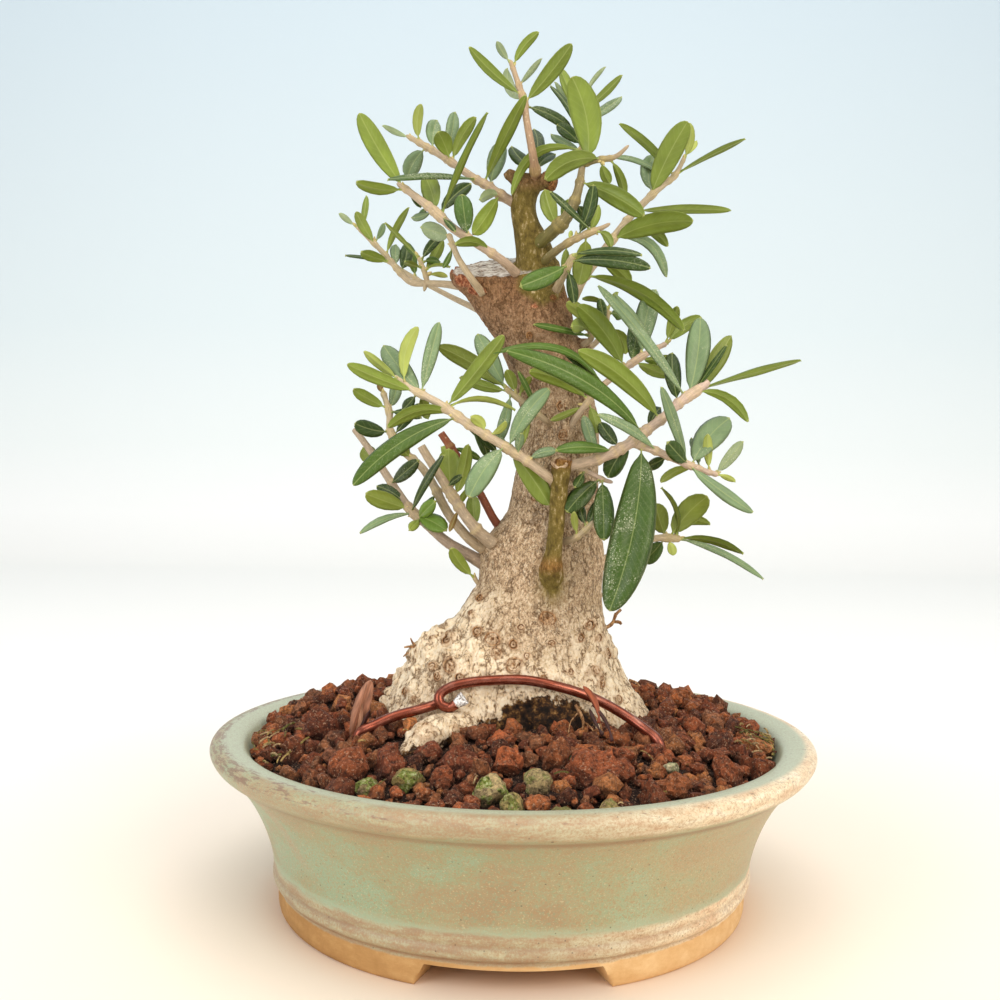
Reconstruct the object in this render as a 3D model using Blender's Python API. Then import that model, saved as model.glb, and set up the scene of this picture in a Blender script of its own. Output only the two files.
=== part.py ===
"""Wild olive bonsai: a thick cut-back trunk with leafy shoots, in a round glazed pot of soil granules.

Lengths in this file are millimetres and turn into metres when a mesh is made. The origin is on the
table under the middle of the pot, X runs to the right, Y away from the viewer and Z up.
"""
import math

import bmesh
import bpy
import numpy as np
from mathutils import Vector
from mathutils.geometry import delaunay_2d_cdt

MM = 0.001
GAP = 0.3
FLAT_ANGLE = math.radians(1.0)
SHARP_ANGLE = math.radians(40.0)
MERGE = 0.002
SEED = 7

RIM_RADIUS = 75.0
RIM_HEIGHT = 41.5
MOUTH_RADIUS = 66.4
FOOT_RADIUS = 58.4
FOOT_INNER_RADIUS = 47.0
FOOT_HEIGHT = 5.0
FOOT_COUNT = 3
FOOT_GAP_AT_TABLE = math.radians(42)
FOOT_GAP_AT_BODY = math.radians(37)
FLOOR_TOP = 9.2
POT_SIDES = 36

DRAIN_OFFSET = 26.0
DRAIN_RADIUS = 6.0
SCREEN_RADIUS = 8.6
SCREEN_THICKNESS = 0.8
SCREEN_HOLE = 1.3
SCREEN_HOLE_RING = 5.0
SCREEN_HOLES = 4
DRAIN_SIDES = 12

SOIL_EDGE_HEIGHT = 38.6
SOIL_MOUND = 9.5
SOIL_FALL = 2.6
# Heaps on the mound: x, y, rise, spread.
SOIL_HEAPS = [(46.0, 19.0, 4.0, 13.0), (-43.0, 14.0, 4.5, 14.0), (-30.0, 40.0, 1.5, 14.0)]
GRANULE = 8.8
GRANULE_RELIEF = 1.5
GRANULE_JITTER = 0.16
GRANULE_FROM_RIM = 1.6
SOIL_LEVELS = [29.0, 22.0, 12.0, FLOOR_TOP + GAP]

WIRE_RADIUS = 1.2
WIRE_SIDES = 6
DRY_HOLE_DEPTH = 9.0
DRY_HOLE_SHARE = 0.3

BLADE_THICKNESS = 0.8
BLADE_FOLD = 0.22
PETIOLE = 0.5
# A leaf up to each length has these stations: place along it, share of its width.
BLADE_STATIONS = [
    (7.4, [(0.0, 0.0), (0.48, 1.0)]),
    (13.0, [(0.0, 0.0), (0.34, 0.88), (0.68, 0.86)]),
    (25.0, [(0.0, 0.0), (0.14, 0.1), (0.44, 1.0), (0.76, 0.74)]),
    (34.0, [(0.0, 0.0), (0.1, 0.08), (0.3, 0.86), (0.55, 1.0), (0.8, 0.68)]),
    (99.0, [(0.0, 0.0), (0.07, 0.07), (0.2, 0.66), (0.38, 0.96), (0.6, 0.96), (0.82, 0.62)]),
]

# The plant is laid out as it shows from this viewpoint. A height is counted from LEVEL.
VIEWPOINT = np.array([-4.0, -277.4, 105.6])
LEVEL = -1.7

# Cross-sections of the trunk: height, left edge, right edge, half depth, middle of the depth.
TRUNK_SECTIONS = [
    (24.0, -27.0, 26.0, 18.0, 1.0),
    (33.0, -37.5, 36.5, 25.0, 1.0),
    (43.0, -37.0, 36.5, 26.0, 1.0),
    (48.0, -34.2, 34.2, 25.0, 1.0),
    (54.0, -31.0, 30.2, 23.0, 1.0),
    (60.0, -27.5, 27.0, 20.5, 0.5),
    (64.0, -25.3, 25.4, 18.5, 0.5),
    (67.5, -19.5, 24.1, 17.0, 0.5),
    (70.5, -15.6, 23.2, 15.8, 0.0),
    (75.0, -12.3, 22.3, 14.6, 0.0),
    (80.5, -9.0, 22.0, 13.4, 0.0),
    (88.0, -9.0, 22.4, 12.6, 0.0),
    (92.0, -7.0, 22.0, 12.0, 0.0),
    (98.5, -2.1, 20.9, 11.0, 0.0),
    (106.0, -0.7, 20.9, 10.4, 0.0),
    (115.0, 1.3, 21.1, 10.0, 0.0),
    (125.0, 0.7, 19.8, 9.8, 0.0),
    (133.0, -1.5, 17.8, 9.8, 0.0),
    (140.0, -4.5, 15.9, 9.6, 0.0),
    (146.0, -8.9, 14.2, 9.4, 0.0),
    (152.0, -12.6, 12.8, 9.0, 0.0),
    (156.5, -16.6, 11.4, 8.6, 0.0),
    (160.5, -17.4, 10.4, 8.2, 0.0),
]
# The leader that goes on up from the right half of the cut trunk, in the same terms.
LEADER_SECTIONS = [
    (151.0, 0.6, 9.6, 4.6, -0.5),
    (158.0, -0.6, 9.9, 5.0, -0.5),
    (163.0, -0.8, 9.2, 4.9, -0.5),
    (168.0, -1.4, 7.2, 4.2, -0.5),
    (172.0, -2.0, 5.0, 3.5, -0.5),
    (176.0, -2.4, 4.3, 3.3, -0.5),
    (180.0, -1.6, 5.4, 3.4, -0.5),
    (183.5, 0.4, 6.4, 2.8, -0.5),
]
CUT_SLOPE_BACK = 0.36
CUT_SLOPE_SIDE = 0.1
TRUNK_SIDES = 24
LEADER_SIDES = 12
STUB_SIDES = 6
# The hole in the soil follows the trunk up to here, and every stub that ends as low as a root.
BURIED_BELOW = 80.0
ROOT_END_BELOW = 34.0
# A shoot's stem stands in its socket for this many of its points.
SOCKET_POINTS = 4
THICK_STEM = 1.25

# Woody stubs that belong to the trunk: points as across, up, forward, radius.
STUBS = [
    [(9.4, 82.0, 8.0, 2.6), (10.0, 89.0, 12.6, 2.3), (10.4, 97.0, 14.2, 2.1), (11.0, 105.0, 15.0, 2.0),
     (11.5, 112.6, 15.4, 2.3)],
    [(12.6, 111.0, 8.0, 1.6), (12.6, 119.0, 10.8, 1.5), (12.4, 127.6, 10.6, 1.2)],
    [(4.0, 181.0, 1.0, 1.8), (6.9, 182.2, 4.4, 2.2)],
    [(0.6, 181.0, 1.0, 1.9), (-2.2, 183.2, 2.4, 1.8), (-3.6, 184.6, 2.6, 1.4)],
    [(16.0, 85.0, 0.0, 3.0), (22.6, 86.0, -1.0, 1.9)],
    [(13.0, 139.6, 1.0, 2.6), (18.2, 141.0, 3.0, 1.7)],
    [(21.5, 68.6, 0.0, 0.9), (24.6, 70.6, 0.5, 0.6), (26.2, 72.6, 0.6, 0.5)],
    [(-36.0, 40.0, 8.0, 5.0), (-41.0, 35.0, 12.0, 3.2), (-46.0, 29.0, 16.0, 2.0)],
    [(34.0, 42.0, 6.0, 5.0), (38.5, 36.0, 9.0, 3.4), (44.0, 29.0, 12.0, 2.2)],
    [(-10.0, 42.0, 17.0, 6.0), (-17.0, 39.0, 26.0, 4.6), (-25.0, 32.0, 36.0, 2.8)],
    [(20.0, 43.0, 18.0, 4.5), (23.5, 38.0, 25.0, 3.0), (27.0, 31.0, 31.0, 2.0)],
    [(2.0, 42.0, -18.0, 6.0), (4.0, 36.0, -30.0, 4.4), (5.0, 28.0, -38.0, 2.6)],
]

# The wire that holds the plant down. From its hook it lies over the roots to the soil on the right,
# as across, up, forward. Then, as x, y, z, it goes down and out of one drain hole, across under the
# pot and in at the other. It comes up on the left and ends in the hook, again as across, up, forward.
WIRE_OVER = [
    (-14.4, 49.0, 23.8), (-16.2, 47.9, 23.3), (-18.4, 48.7, 23.0), (-18.9, 51.0, 22.3), (-16.4, 53.0, 21.6),
    (-12.0, 54.3, 21.4), (-6.0, 55.0, 21.6), (3.0, 55.2, 22.6), (12.0, 53.5, 22.6), (20.0, 51.0, 21.6),
    (27.0, 47.5, 22.6), (33.0, 43.5, 25.5), (37.5, 39.5, 29.0),
]
WIRE_UNDER = [
    (33.6, -27.8, 39.0), (32.8, -23.0, 31.0), (31.0, -14.0, 22.5), (27.8, -4.0, 14.5), (26.0, 0.0, 8.0),
    (23.6, 0.0, 3.4), (19.0, 0.0, 2.4), (0.0, 0.0, 2.2), (-19.0, 0.0, 2.4), (-23.6, 0.0, 3.4),
    (-26.0, 0.0, 8.0), (-27.8, -4.0, 14.5), (-32.0, -12.0, 22.5), (-35.4, -19.0, 31.0), (-36.8, -23.4, 38.0),
]
WIRE_BACK = [
    (-39.5, 40.5, 25.0), (-35.0, 43.3, 23.6), (-30.0, 45.6, 22.2), (-24.0, 47.3, 20.8), (-20.0, 48.6, 19.6),
    (-17.4, 49.7, 19.4),
]


def seen(across, up, forward):
    """The point that shows at (across, up) in the plane of the trunk, but stands nearer by forward."""
    flat = np.array([across, 0.0, up + LEVEL])
    return flat + (VIEWPOINT - flat) * (forward / -VIEWPOINT[1])


def shrink(forward):
    """How much smaller a thing is than it shows, when it stands nearer by forward."""
    return 1.0 - forward / -VIEWPOINT[1]


# Each shoot: its stems, with points as across, up, forward, radius, and its leaves. A leaf is the
# place on the stem where it sits, its tip as across, up, forward, its width, its sideways bow, and
# its turn in degrees: 0 shows the upper face, 180 the underside and 90 the edge.
SHOOTS = {
    "crown_shoot": (
        [[(4.2, 182.0, 1.5, 1.8), (3.6, 186.0, 7.0, 1.4), (2.8, 190.6, 8.6, 1.25), (1.5, 197.4, 7.6, 1.1),
          (0.6, 202.4, 6, 1.1), (-0.6, 206, 5.4, 0.9), (-1.8, 209.4, 5, 0.8), (-2.8, 212.2, 4.6, 0.5)]],
        [(1.4, 201.6, 12.6, 216.5, 11, 6.0, -0.6, -165),
         (0.2, 203.4, -13.2, 215.4, 9, 3.8, 1.0, 160),
         (1.0, 200.6, 13.0, 195.0, 2.6, 3.6, 0.4, -35),
         (-0.4, 206.0, 5.0, 212.6, 0, 2.2, -0.3, 200),
         (0.6, 202.4, -3.6, 210.0, -2, 3.6, 1.6, 205),
         (-2.6, 211.4, -6.2, 216.8, 5, 2.6, 0.3, 180),
         (-2.0, 210.4, 4.3, 219.3, 7, 3.2, 0.8, -165),
         (4.0, 184.8, -2.2, 190.4, -4, 3.8, 0.6, 25),
         (3.8, 185.2, 3.4, 194.8, -5, 3.8, -0.6, 10),
         (4.0, 184.4, 8.8, 188.6, -4, 2.8, 0.4, -20)],
    ),
    "upper_left_shoot": (
        [[(-0.6, 176.0, 0.5, 1.7), (-4.6, 178.2, 1, 1.5), (-8.0, 180.5, 0, 1.35), (-11.5, 182.4, -1, 1.25),
          (-17, 186.2, -3, 1.15), (-22, 189.2, -5, 1.05), (-25.5, 191.2, -6, 0.95), (-28.8, 193.0, -7, 0.6)]],
        [(-27.6, 192.2, -34.8, 195.4, -9, 1.8, 0.3, 150),
         (-25.4, 191.2, -25.1, 200.9, -2, 2.8, 0.9, 165),
         (-23.6, 190.0, -28.4, 182.4, -11, 4.6, -0.6, 10),
         (-22.0, 189.4, -21.2, 196.8, -9, 4.2, 0.5, 15),
         (-17.8, 186.4, -20.8, 194.0, 3, 4.6, -0.3, 178),
         (-18.4, 187.2, -16.6, 198.9, -9, 3.6, 0.4, 20),
         (-17.2, 186.2, -11.3, 197.8, -3, 3.6, 0.7, -150),
         (-11.0, 182.0, -33.4, 181.8, 17, 3.4, 0.7, 62),
         (-7.6, 180.4, -4.2, 191.4, -6, 4.8, 0.5, 12),
         (-9.0, 181.2, 1.2, 203.5, 11.5, 4.4, -0.5, -140),
         (-5.0, 178.6, -11.6, 168.4, 13, 4.6, 0.4, 168),
         (-4.6, 178.2, -10.0, 177.0, 7, 3.2, -0.6, 150)],
    ),
    "left_arm_shoot": (
        [[(-0.6, 158.6, 7.5, 1.6), (-3.6, 161.4, 11, 1.4), (-7.5, 164.0, 13, 1.35), (-12, 166.8, 13, 1.35),
          (-17, 170.0, 13, 1.4), (-22, 174.4, 12, 1.35), (-27, 178.2, 11, 1.15), (-31, 181.0, 11, 0.8)]],
        [(-29.2, 179.8, -40.8, 198.4, 14, 6.6, 0.6, 172),
         (-29.0, 179.4, -41.4, 181.2, 15, 4.2, 1.2, 140),
         (-28.8, 179.2, -25.0, 175.0, 6, 2.2, 0.4, 10),
         (-21.4, 174.2, -24.3, 183.4, 3, 5.2, -0.5, 160),
         (-19.8, 172.6, -8.4, 199.0, 16, 4.6, -0.6, -112),
         (-20.2, 173.4, -12.4, 181.0, 5, 3.8, 0.3, -15),
         (-13.0, 167.4, -14.6, 178.4, 16, 5.0, 0.3, 10),
         (-19.6, 172.6, -16.2, 169.0, 17, 1.8, 0.2, -20),
         (-22.0, 174.0, -27.2, 172.3, 8, 2.2, 0.4, 20),
         (-23.0, 175.2, -25.6, 173.0, 5, 1.8, 0.3, 20),
         (-6.8, 163.6, -16.2, 165.8, 18, 3.4, -1.3, 140)],
    ),
    "stub_twig": (
        [[(-9.0, 153.4, 6.5, 1.3), (-12.0, 157.2, 9.6, 1.15), (-15.2, 162.0, 9.6, 1.0), (-17.0, 166.2, 9, 0.9),
          (-17.8, 168.4, 8, 0.7)]],
        [(-17.6, 167.6, -24.8, 170.0, 0, 4.6, 0.2, 165),
         (-16.8, 165.6, -19.2, 159.8, 8, 1.6, 0.4, 10)],
    ),
    "rear_left_spray": (
        [[(-14.0, 155.2, -1, 1.5), (-18.5, 155.7, -5, 1.15), (-23.0, 155.8, -9, 1.05), (-27, 156.0, -12, 1.05),
          (-29.6, 158.0, -13, 1.0), (-32.2, 161.0, -14, 0.9), (-35.5, 164.6, -15, 0.8), (-38.5, 167.4, -16, 0.7),
          (-41.2, 170.0, -17, 0.5)],
         [(-23.0, 155.8, -9, 0.9), (-23.8, 158.6, -9, 0.7), (-25.4, 162.4, -10, 0.55)],
         [(-23.4, 156.0, -9, 0.8), (-23.9, 153.9, -8, 0.5)]],
        [(-36.2, 165.4, -41.3, 173.7, -12, 3.0, 0.4, 160),
         (-40.0, 169.0, -38.7, 177.7, -18, 2.0, 0.2, 150),
         (-36.8, 165.8, -34.2, 170.8, -18, 1.8, -0.2, 20),
         (-32.4, 161.2, -40.0, 163.6, -9, 3.4, 0.4, 150),
         (-33.6, 162.6, -28.0, 174.9, -16, 2.2, 0.3, -150),
         (-25.6, 162.2, -34.0, 171.0, -6, 1.8, 0.4, 140),
         (-31.0, 159.6, -31.2, 165.4, -18, 2.8, 0.2, 10),
         (-29.8, 158.4, -28.3, 165.8, -19, 3.4, -0.4, 0),
         (-25.6, 161.8, -29.0, 166.4, -14, 2.0, 0.2, 25),
         (-25.0, 161.2, -19.8, 167.9, -11, 2.6, 0.2, -20),
         (-24.4, 159.6, -28.9, 161.3, -5, 2.4, 0.3, 140),
         (-24.0, 158.8, -17.4, 160.0, -6, 2.0, 0.9, -120),
         (-23.8, 157.6, -18.0, 157.6, -10, 1.8, 0.3, -140),
         (-24.8, 160.8, -20.0, 161.2, -13, 2.4, 0.4, -30),
         (-41.0, 169.8, -45.6, 173.2, -17, 1.8, 0.2, 150),
         (-24.0, 159.0, -19.3, 166.8, -15, 2.8, -0.8, -165)],
    ),
    "rear_left_leaf_tip": (
        [[(-9.5, 149.0, -4, 1.1), (-16.0, 152.0, -17, 0.9), (-26.0, 157.0, -27, 0.7), (-34.0, 161.8, -30, 0.6)]],
        [(-33.0, 161.2, -44.0, 162.6, -27, 2.2, 0.2, 70),
         (-26.0, 157.0, -27.6, 165.6, -29, 2.8, 0.2, 20)],
    ),
    "top_right_shoot": (
        [[(4.0, 165.2, 2.5, 2.2), (8.8, 169.6, 8, 2.1), (12.4, 173.6, 11, 1.9), (14.6, 179.0, 11.6, 1.5),
          (15.6, 185.0, 9.4, 1.1), (15.8, 190, 6, 0.95), (15.6, 196, 3, 0.8), (16.0, 204, 1, 0.5)],
         [(15.6, 186.0, 8.8, 0.8), (19.6, 187.4, 11, 0.9), (24.0, 188.3, 11, 0.8), (27.4, 191.2, 11, 0.45)]],
        [(16.8, 186.6, 12.8, 208.2, 15, 8.0, -1.6, 170),
         (21.0, 187.7, 6.4, 182.4, 17, 5.8, -1.6, 150),
         (15.0, 182.0, 31.6, 173.6, 18, 5.4, 0.6, -160),
         (15.8, 189.6, -2.0, 178.4, 4.2, 2.6, -5.2, 165),
         (15.7, 192.0, 7.4, 205.8, 0, 2.2, -0.2, 40),
         (15.7, 194.0, 8.6, 206.8, -4, 2.2, 0.3, 150),
         (15.7, 198.4, 9.9, 210.2, -3, 3.2, 0.4, 165),
         (15.8, 199.6, 25.4, 208.8, 1, 3.2, -0.6, -155),
         (16.0, 202.8, 21.2, 210.8, 1, 1.7, 0.2, -150),
         (15.8, 196.4, 25.4, 203.2, -4, 3.6, -0.3, -25),
         (15.7, 190.4, 9.2, 196.2, 5, 3.6, -0.3, 20),
         (15.8, 189.4, 7.8, 193.6, -2, 2.4, 0.3, 25),
         (20.4, 187.6, 22.8, 181.5, 9, 3.0, -0.4, -160),
         (22.4, 188.0, 26.6, 178.5, 7, 2.6, 0.6, -160),
         (9.8, 170.6, 6.4, 179.8, 5.5, 4.4, 0.7, 165),
         (10.8, 171.8, 13.4, 177.2, 6, 3.4, 0.3, -160),
         (14.0, 177.0, 18.8, 171.0, 8, 3.4, -0.3, -10)],
    ),
    "budded_twig": (
        [[(5.8, 160.8, 2.5, 1.5), (8.2, 163.4, 8.5, 1.4), (12.2, 166.4, 14, 1.1), (17.6, 169.0, 16, 1.0),
          (20.6, 170.2, 16, 0.8), (23.0, 171.5, 16, 0.5)]],
        [(18.4, 169.4, 7.6, 179.4, 20, 2.2, 0.4, 30),
         (14.6, 167.6, 18.6, 181.2, 15, 3.6, -0.9, -10),
         (17.6, 169.0, 20.0, 176.0, 12, 2.6, -0.6, -150),
         (19.0, 169.6, 23.4, 165.6, 18, 2.8, 1.0, -150),
         (17.0, 168.8, 15.2, 156.0, 12, 5.2, 0.6, 170),
         (12.2, 166.2, 12.4, 157.4, 9, 2.6, -0.4, 170),
         (13.0, 166.8, 13.2, 169.6, 15, 1.2, 0.1, 180)],
    ),
    "shoulder_shoot": (
        [[(9.6, 154.6, 7, 1.4), (11.4, 158.4, 12, 1.2), (12.8, 161.4, 15, 1.0), (13.6, 163.6, 17, 0.7)]],
        [(13.0, 161.8, 33.4, 160.4, 22, 4.2, 1.0, -12),
         (13.4, 163.4, 31.2, 163.6, 21, 3.2, 0.8, -48),
         (12.6, 160.8, 0.4, 155.4, 21, 5.2, 0.6, 14),
         (12.2, 160.2, 14.2, 151.2, 15, 3.0, 0.4, 8)],
    ),
    "right_arm_shoot": (
        [[(11.5, 147.5, 1, 1.9), (14.4, 153.4, 0.5, 1.6), (16.4, 157.6, 0, 1.5), (19.6, 162.0, -2, 1.45),
          (24.0, 168.0, -5, 1.3), (28.4, 173.6, -8, 1.2), (33, 178.4, -9, 1.1), (36.6, 181.6, -10, 1.0),
          (39.2, 183.8, -10, 0.9), (41.6, 188.4, -10, 0.55)]],
        [(33.2, 178.6, 42.2, 197.4, -3, 6.4, 0.4, -168),
         (41.2, 187.6, 42.6, 197.0, -8, 2.8, -1.2, -150),
         (41.6, 188.0, 44.6, 192.4, -12, 2.2, 0.3, 160),
         (39.2, 184.0, 56.8, 193.2, -6, 3.6, -0.5, -122),
         (39.0, 183.6, 25.0, 196.6, -14, 2.8, -0.8, 150),
         (37.6, 182.4, 23.0, 188.3, -18, 2.4, -0.6, 50),
         (33.6, 179.0, 33.8, 188.8, -15, 4.2, 1.4, 10),
         (23.4, 167.2, 44.0, 172.4, 3, 6.8, 1.2, -150),
         (29.4, 174.6, 53.5, 175.2, -13, 3.2, -0.5, -150),
         (27.2, 172.2, 37.7, 165.9, -5, 3.4, 1.3, -150),
         (23.8, 167.8, 37.4, 158.2, -11, 3.2, 3.4, -30),
         (20.2, 162.8, 28.4, 156.6, -8, 4.0, 0.5, -165),
         (16.8, 158.4, 42.2, 144.8, 10, 5.2, 2.3, -135)],
    ),
    "right_edge_sprig": (
        [[(16.4, 140.6, 3.6, 1.1), (18.6, 142.4, 5.2, 0.9), (18.0, 145.2, 6.4, 0.7)]],
        [(18.2, 144.8, 12.2, 151.4, 9, 3.6, -0.8, 165),
         (18.4, 144.4, 13.6, 145.4, 13, 4.2, -0.4, 175),
         (18.4, 142.8, 4.0, 145.8, 15, 2.4, 0.4, 40),
         (18.2, 145.0, 16.6, 150.4, 4.5, 3.0, 0.4, 180)],
    ),
    "rear_right_sprig": (
        [[(14.5, 137.4, -5, 1.2), (20.0, 141.6, -9, 0.9), (22.4, 146.4, -10, 0.8), (22.8, 150.0, -10, 0.5)]],
        [(21.6, 144.6, 27.4, 138.6, -8, 3.8, 1.6, -160),
         (22.2, 146.0, 20.6, 152.6, -7, 2.6, 0.2, 20),
         (22.8, 149.8, 16.2, 152.4, -10, 2.2, -0.8, 130),
         (22.6, 149.0, 18.2, 149.4, -13, 2.6, 0.4, 20),
         (22.6, 148.4, 26.4, 147.6, -11, 3.0, 0.6, -30),
         (22.6, 150.0, 25.2, 154.2, -12, 1.8, 0.2, -150)],
    ),
    "trunk_face_shoot": (
        [[(12.5, 118.0, 9.5, 1.2), (14.8, 122.0, 12.4, 1.05), (17.4, 125.6, 12.5, 1.0), (21.2, 130.0, 11, 1.0),
          (25.2, 133.4, 9, 1.1), (29.4, 136.6, 7, 1.1), (33.8, 139.4, 5.6, 1.0), (37.8, 141.4, 5, 0.7)]],
        [(31.6, 138.2, 34.8, 154.9, 1, 5.6, 0.9, 8),
         (28.8, 136.2, 30.2, 147.2, -3, 4.6, -0.3, 10),
         (37.4, 141.2, 40.3, 150.9, 8, 2.9, -0.3, -165),
         (37.8, 141.4, 46.4, 148.2, 1, 3.6, 0.8, -160),
         (30.8, 137.6, 39.6, 137.6, 2, 3.0, -0.6, -150),
         (29.6, 136.8, 38.8, 133.2, 1, 3.6, -0.4, -150),
         (35.2, 140.0, 24.2, 153.8, 9, 2.2, -0.2, 40),
         (27.2, 135.0, 15.0, 150.8, 14, 5.8, -1.0, 168),
         (21.6, 130.6, -6.6, 138.2, 20, 3.8, -4.2, 58),
         (21.2, 130.2, 11.6, 138.8, 15, 2.6, -0.6, 30),
         (18.4, 126.8, 3.0, 134.0, 17, 4.8, -0.6, 150),
         (17.2, 125.6, 8.6, 121.6, 15, 2.0, 0.3, 160),
         (17.8, 126.2, 20.4, 118.4, 13.5, 3.2, 0.5, 170)],
    ),
    "right_branch": (
        [[(12.4, 109.6, 15.2, 1.8), (15.2, 110.4, 16.8, 1.8), (20, 111.6, 17.5, 1.7), (25.4, 114.0, 18, 1.7),
          (29.8, 116.6, 18, 1.7), (33.4, 119.6, 17, 1.6), (37.2, 122.6, 16, 1.55), (41, 126.2, 15, 1.55),
          (44.8, 129.0, 14, 1.5), (48.4, 131.6, 13, 1.5)],
         [(29.2, 116.0, 18, 1.2), (33.6, 114.8, 18.4, 1.3), (38.8, 112.8, 18.4, 1.2), (44, 110.6, 17, 1.1),
          (48, 109.2, 15, 0.9), (51.4, 108.2, 14, 0.7)],
         [(15.0, 110.0, 16.5, 0.9), (18.6, 108.4, 14, 0.8), (22.4, 106.6, 13, 0.7), (24.6, 106.0, 12.6, 0.6)]],
        [(42.8, 127.6, 20.2, 155.8, 16, 4.0, 0.3, 42),
         (43.4, 128.2, 46.2, 148.0, 10, 6.2, -0.4, 8),
         (44.2, 128.8, 54.0, 143.5, 5, 5.0, -0.9, -158),
         (44.8, 129.0, 53.0, 141.2, 11.5, 2.4, -0.2, -40),
         (41.0, 126.2, 39.2, 139.0, 8, 4.4, 0.4, 8),
         (45.8, 129.6, 71.9, 137.6, 15, 3.8, -1.6, -118),
         (45.4, 129.2, 58.8, 121.8, 18, 3.6, 2.0, -145),
         (36.4, 122.2, 15.4, 139.4, 25, 5.8, -1.6, 160),
         (32.0, 118.6, -2.8, 139.0, 28, 5.6, -2.4, 22),
         (43.6, 111.0, 36.6, 130.4, 22, 3.6, 0.4, 35),
         (44.6, 110.8, 54.0, 122.6, 10, 7.2, 0.8, -15),
         (43.8, 110.8, 38.4, 116.4, 22.5, 4.6, 0.3, 20),
         (35.6, 114.2, 20.6, 123.2, 25, 3.2, -0.6, 30),
         (33.0, 119.4, 36.4, 125.0, 10, 3.2, 0.4, 10),
         (43.8, 110.6, 60.4, 98.8, 18, 4.0, -1.0, -35),
         (46.0, 110.0, 36.8, 106.2, 13, 3.0, -1.0, 140),
         (50.6, 108.4, 55.8, 106.6, 13, 1.8, 0.2, -150),
         (49.2, 108.8, 48.6, 118.6, 17, 2.5, 0.2, 175),
         (50.4, 108.4, 57.5, 116.8, 10, 3.6, -0.5, -150),
         (46.6, 109.8, 44.4, 117.4, 8, 2.4, -0.2, 20),
         (38.8, 112.8, 33.4, 110.2, 12, 3.2, 0.3, 20),
         (31.6, 115.0, 24.3, 73.2, 31, 11.2, 1.9, 4),
         (29.6, 116.2, 23.4, 107.2, 14.5, 5.2, -0.5, 6),
         (24.8, 113.8, 10.0, 113.9, 24, 3.8, -0.9, 30),
         (26.6, 114.8, 21.2, 121.2, 13.5, 3.6, 0.3, 10),
         (20.8, 111.8, 17.0, 122.8, 13.5, 3.2, 0.2, 10),
         (21.6, 106.8, 13.0, 98.2, 17, 5.4, -0.4, 12),
         (21.8, 106.8, 22.6, 91.2, 20, 5.6, 0.3, 6),
         (17.4, 109.2, 15.0, 104.6, 18.5, 2.6, 0.2, 10)],
    ),
    "left_branch": (
        [[(10.2, 105.8, 15.0, 1.7), (7.4, 107.8, 17.0, 1.6), (3.6, 110.6, 18, 1.55), (-0.4, 113.2, 18.4, 1.45),
          (-5.6, 116.4, 19, 1.45), (-11.4, 119.8, 19, 1.5), (-16.4, 123.2, 18.6, 1.4), (-20.4, 125.8, 18, 1.3),
          (-24.8, 128.0, 17, 1.1), (-28.6, 130.2, 16, 0.9), (-31.2, 132.4, 15.4, 0.6)]],
        [(-14.8, 122.0, -41.4, 104.4, 27, 5.6, -2.0, 22),
         (-15.4, 122.6, -32.8, 119.2, 20, 4.2, -2.0, 140),
         (-18.0, 124.4, -3.6, 143.0, 22, 4.6, -0.5, -165),
         (-28.4, 130.0, -25.3, 144.8, 18, 3.6, 1.9, 165),
         (-24.4, 127.8, -20.0, 146.0, 13, 3.8, 0.4, 15),
         (-29.8, 131.2, -39.0, 138.5, 17, 2.8, 0.3, 150),
         (-23.8, 127.6, -34.0, 139.9, 10, 5.4, 0.5, 12),
         (-25.6, 128.4, -43.2, 135.2, 19, 4.2, 0.8, 152),
         (-17.8, 124.2, -0.4, 124.0, 17, 2.6, 1.6, -125),
         (-8.0, 117.8, -11.7, 122.2, 22, 3.0, -0.8, 165),
         (-7.6, 117.6, -2.8, 121.2, 22, 2.2, -0.9, -150),
         (-3.0, 114.8, -11.9, 101.6, 25, 6.2, -0.6, 14),
         (-15.6, 122.6, -5.2, 113.6, 14.5, 3.4, 0.4, -25),
         (-12.0, 120.2, -7.4, 112.2, 14, 3.0, 0.5, -15),
         (-2.2, 114.2, 8.2, 129.6, 24, 4.8, 0.9, -15),
         (0.0, 113.0, 2.4, 123.2, 15.5, 3.2, -0.3, -165),
         (-0.6, 113.2, -6.6, 117.8, 15, 3.0, 0.2, 10),
         (0.4, 112.8, 1.2, 118.2, 22, 2.4, 0.2, 10),
         (2.8, 111.2, 10.2, 113.8, 21, 3.0, 0.6, -30),
         (-2.0, 114.0, 8.6, 100.0, 14.2, 5.6, 0.6, 170),
         (-25.2, 128.2, -29.0, 123.8, 13, 3.0, 0.3, 15),
         (-24.6, 127.8, -22.6, 121.6, 12, 3.2, 0.3, 160)],
    ),
    "crossing_twig": (
        [[(8.6, 120.4, 8.2, 1.1), (7.0, 121.8, 11.4, 1.0), (4.0, 124.2, 12.4, 0.95), (0.4, 127.0, 12.4, 0.9),
          (-3.0, 129.6, 11.6, 0.7)]],
        [(-2.6, 129.2, -20.2, 140.0, 13, 5.2, -0.3, 155),
         (-2.2, 128.8, -14.6, 132.2, 8, 3.4, 0.6, 150),
         (-2.8, 129.4, -10.2, 143.2, 8.5, 4.8, 0.4, 12),
         (-0.2, 127.6, -2.8, 134.2, 14.5, 3.0, -0.3, 170),
         (-1.8, 128.4, -4.6, 115.6, 13.8, 3.2, 0.4, 8),
         (5.4, 123.2, 0.2, 133.9, 15.8, 1.8, 0.2, 30),
         (0.4, 127.0, 3.6, 132.6, 13.8, 2.2, 0.3, -150)],
    ),
    "low_right_sprig": (
        [[(11.6, 90.4, 10.5, 1.3), (15.4, 91.8, 14, 1.1), (18.0, 94.0, 15.5, 0.9), (20.0, 96.2, 16, 0.6)]],
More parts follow.
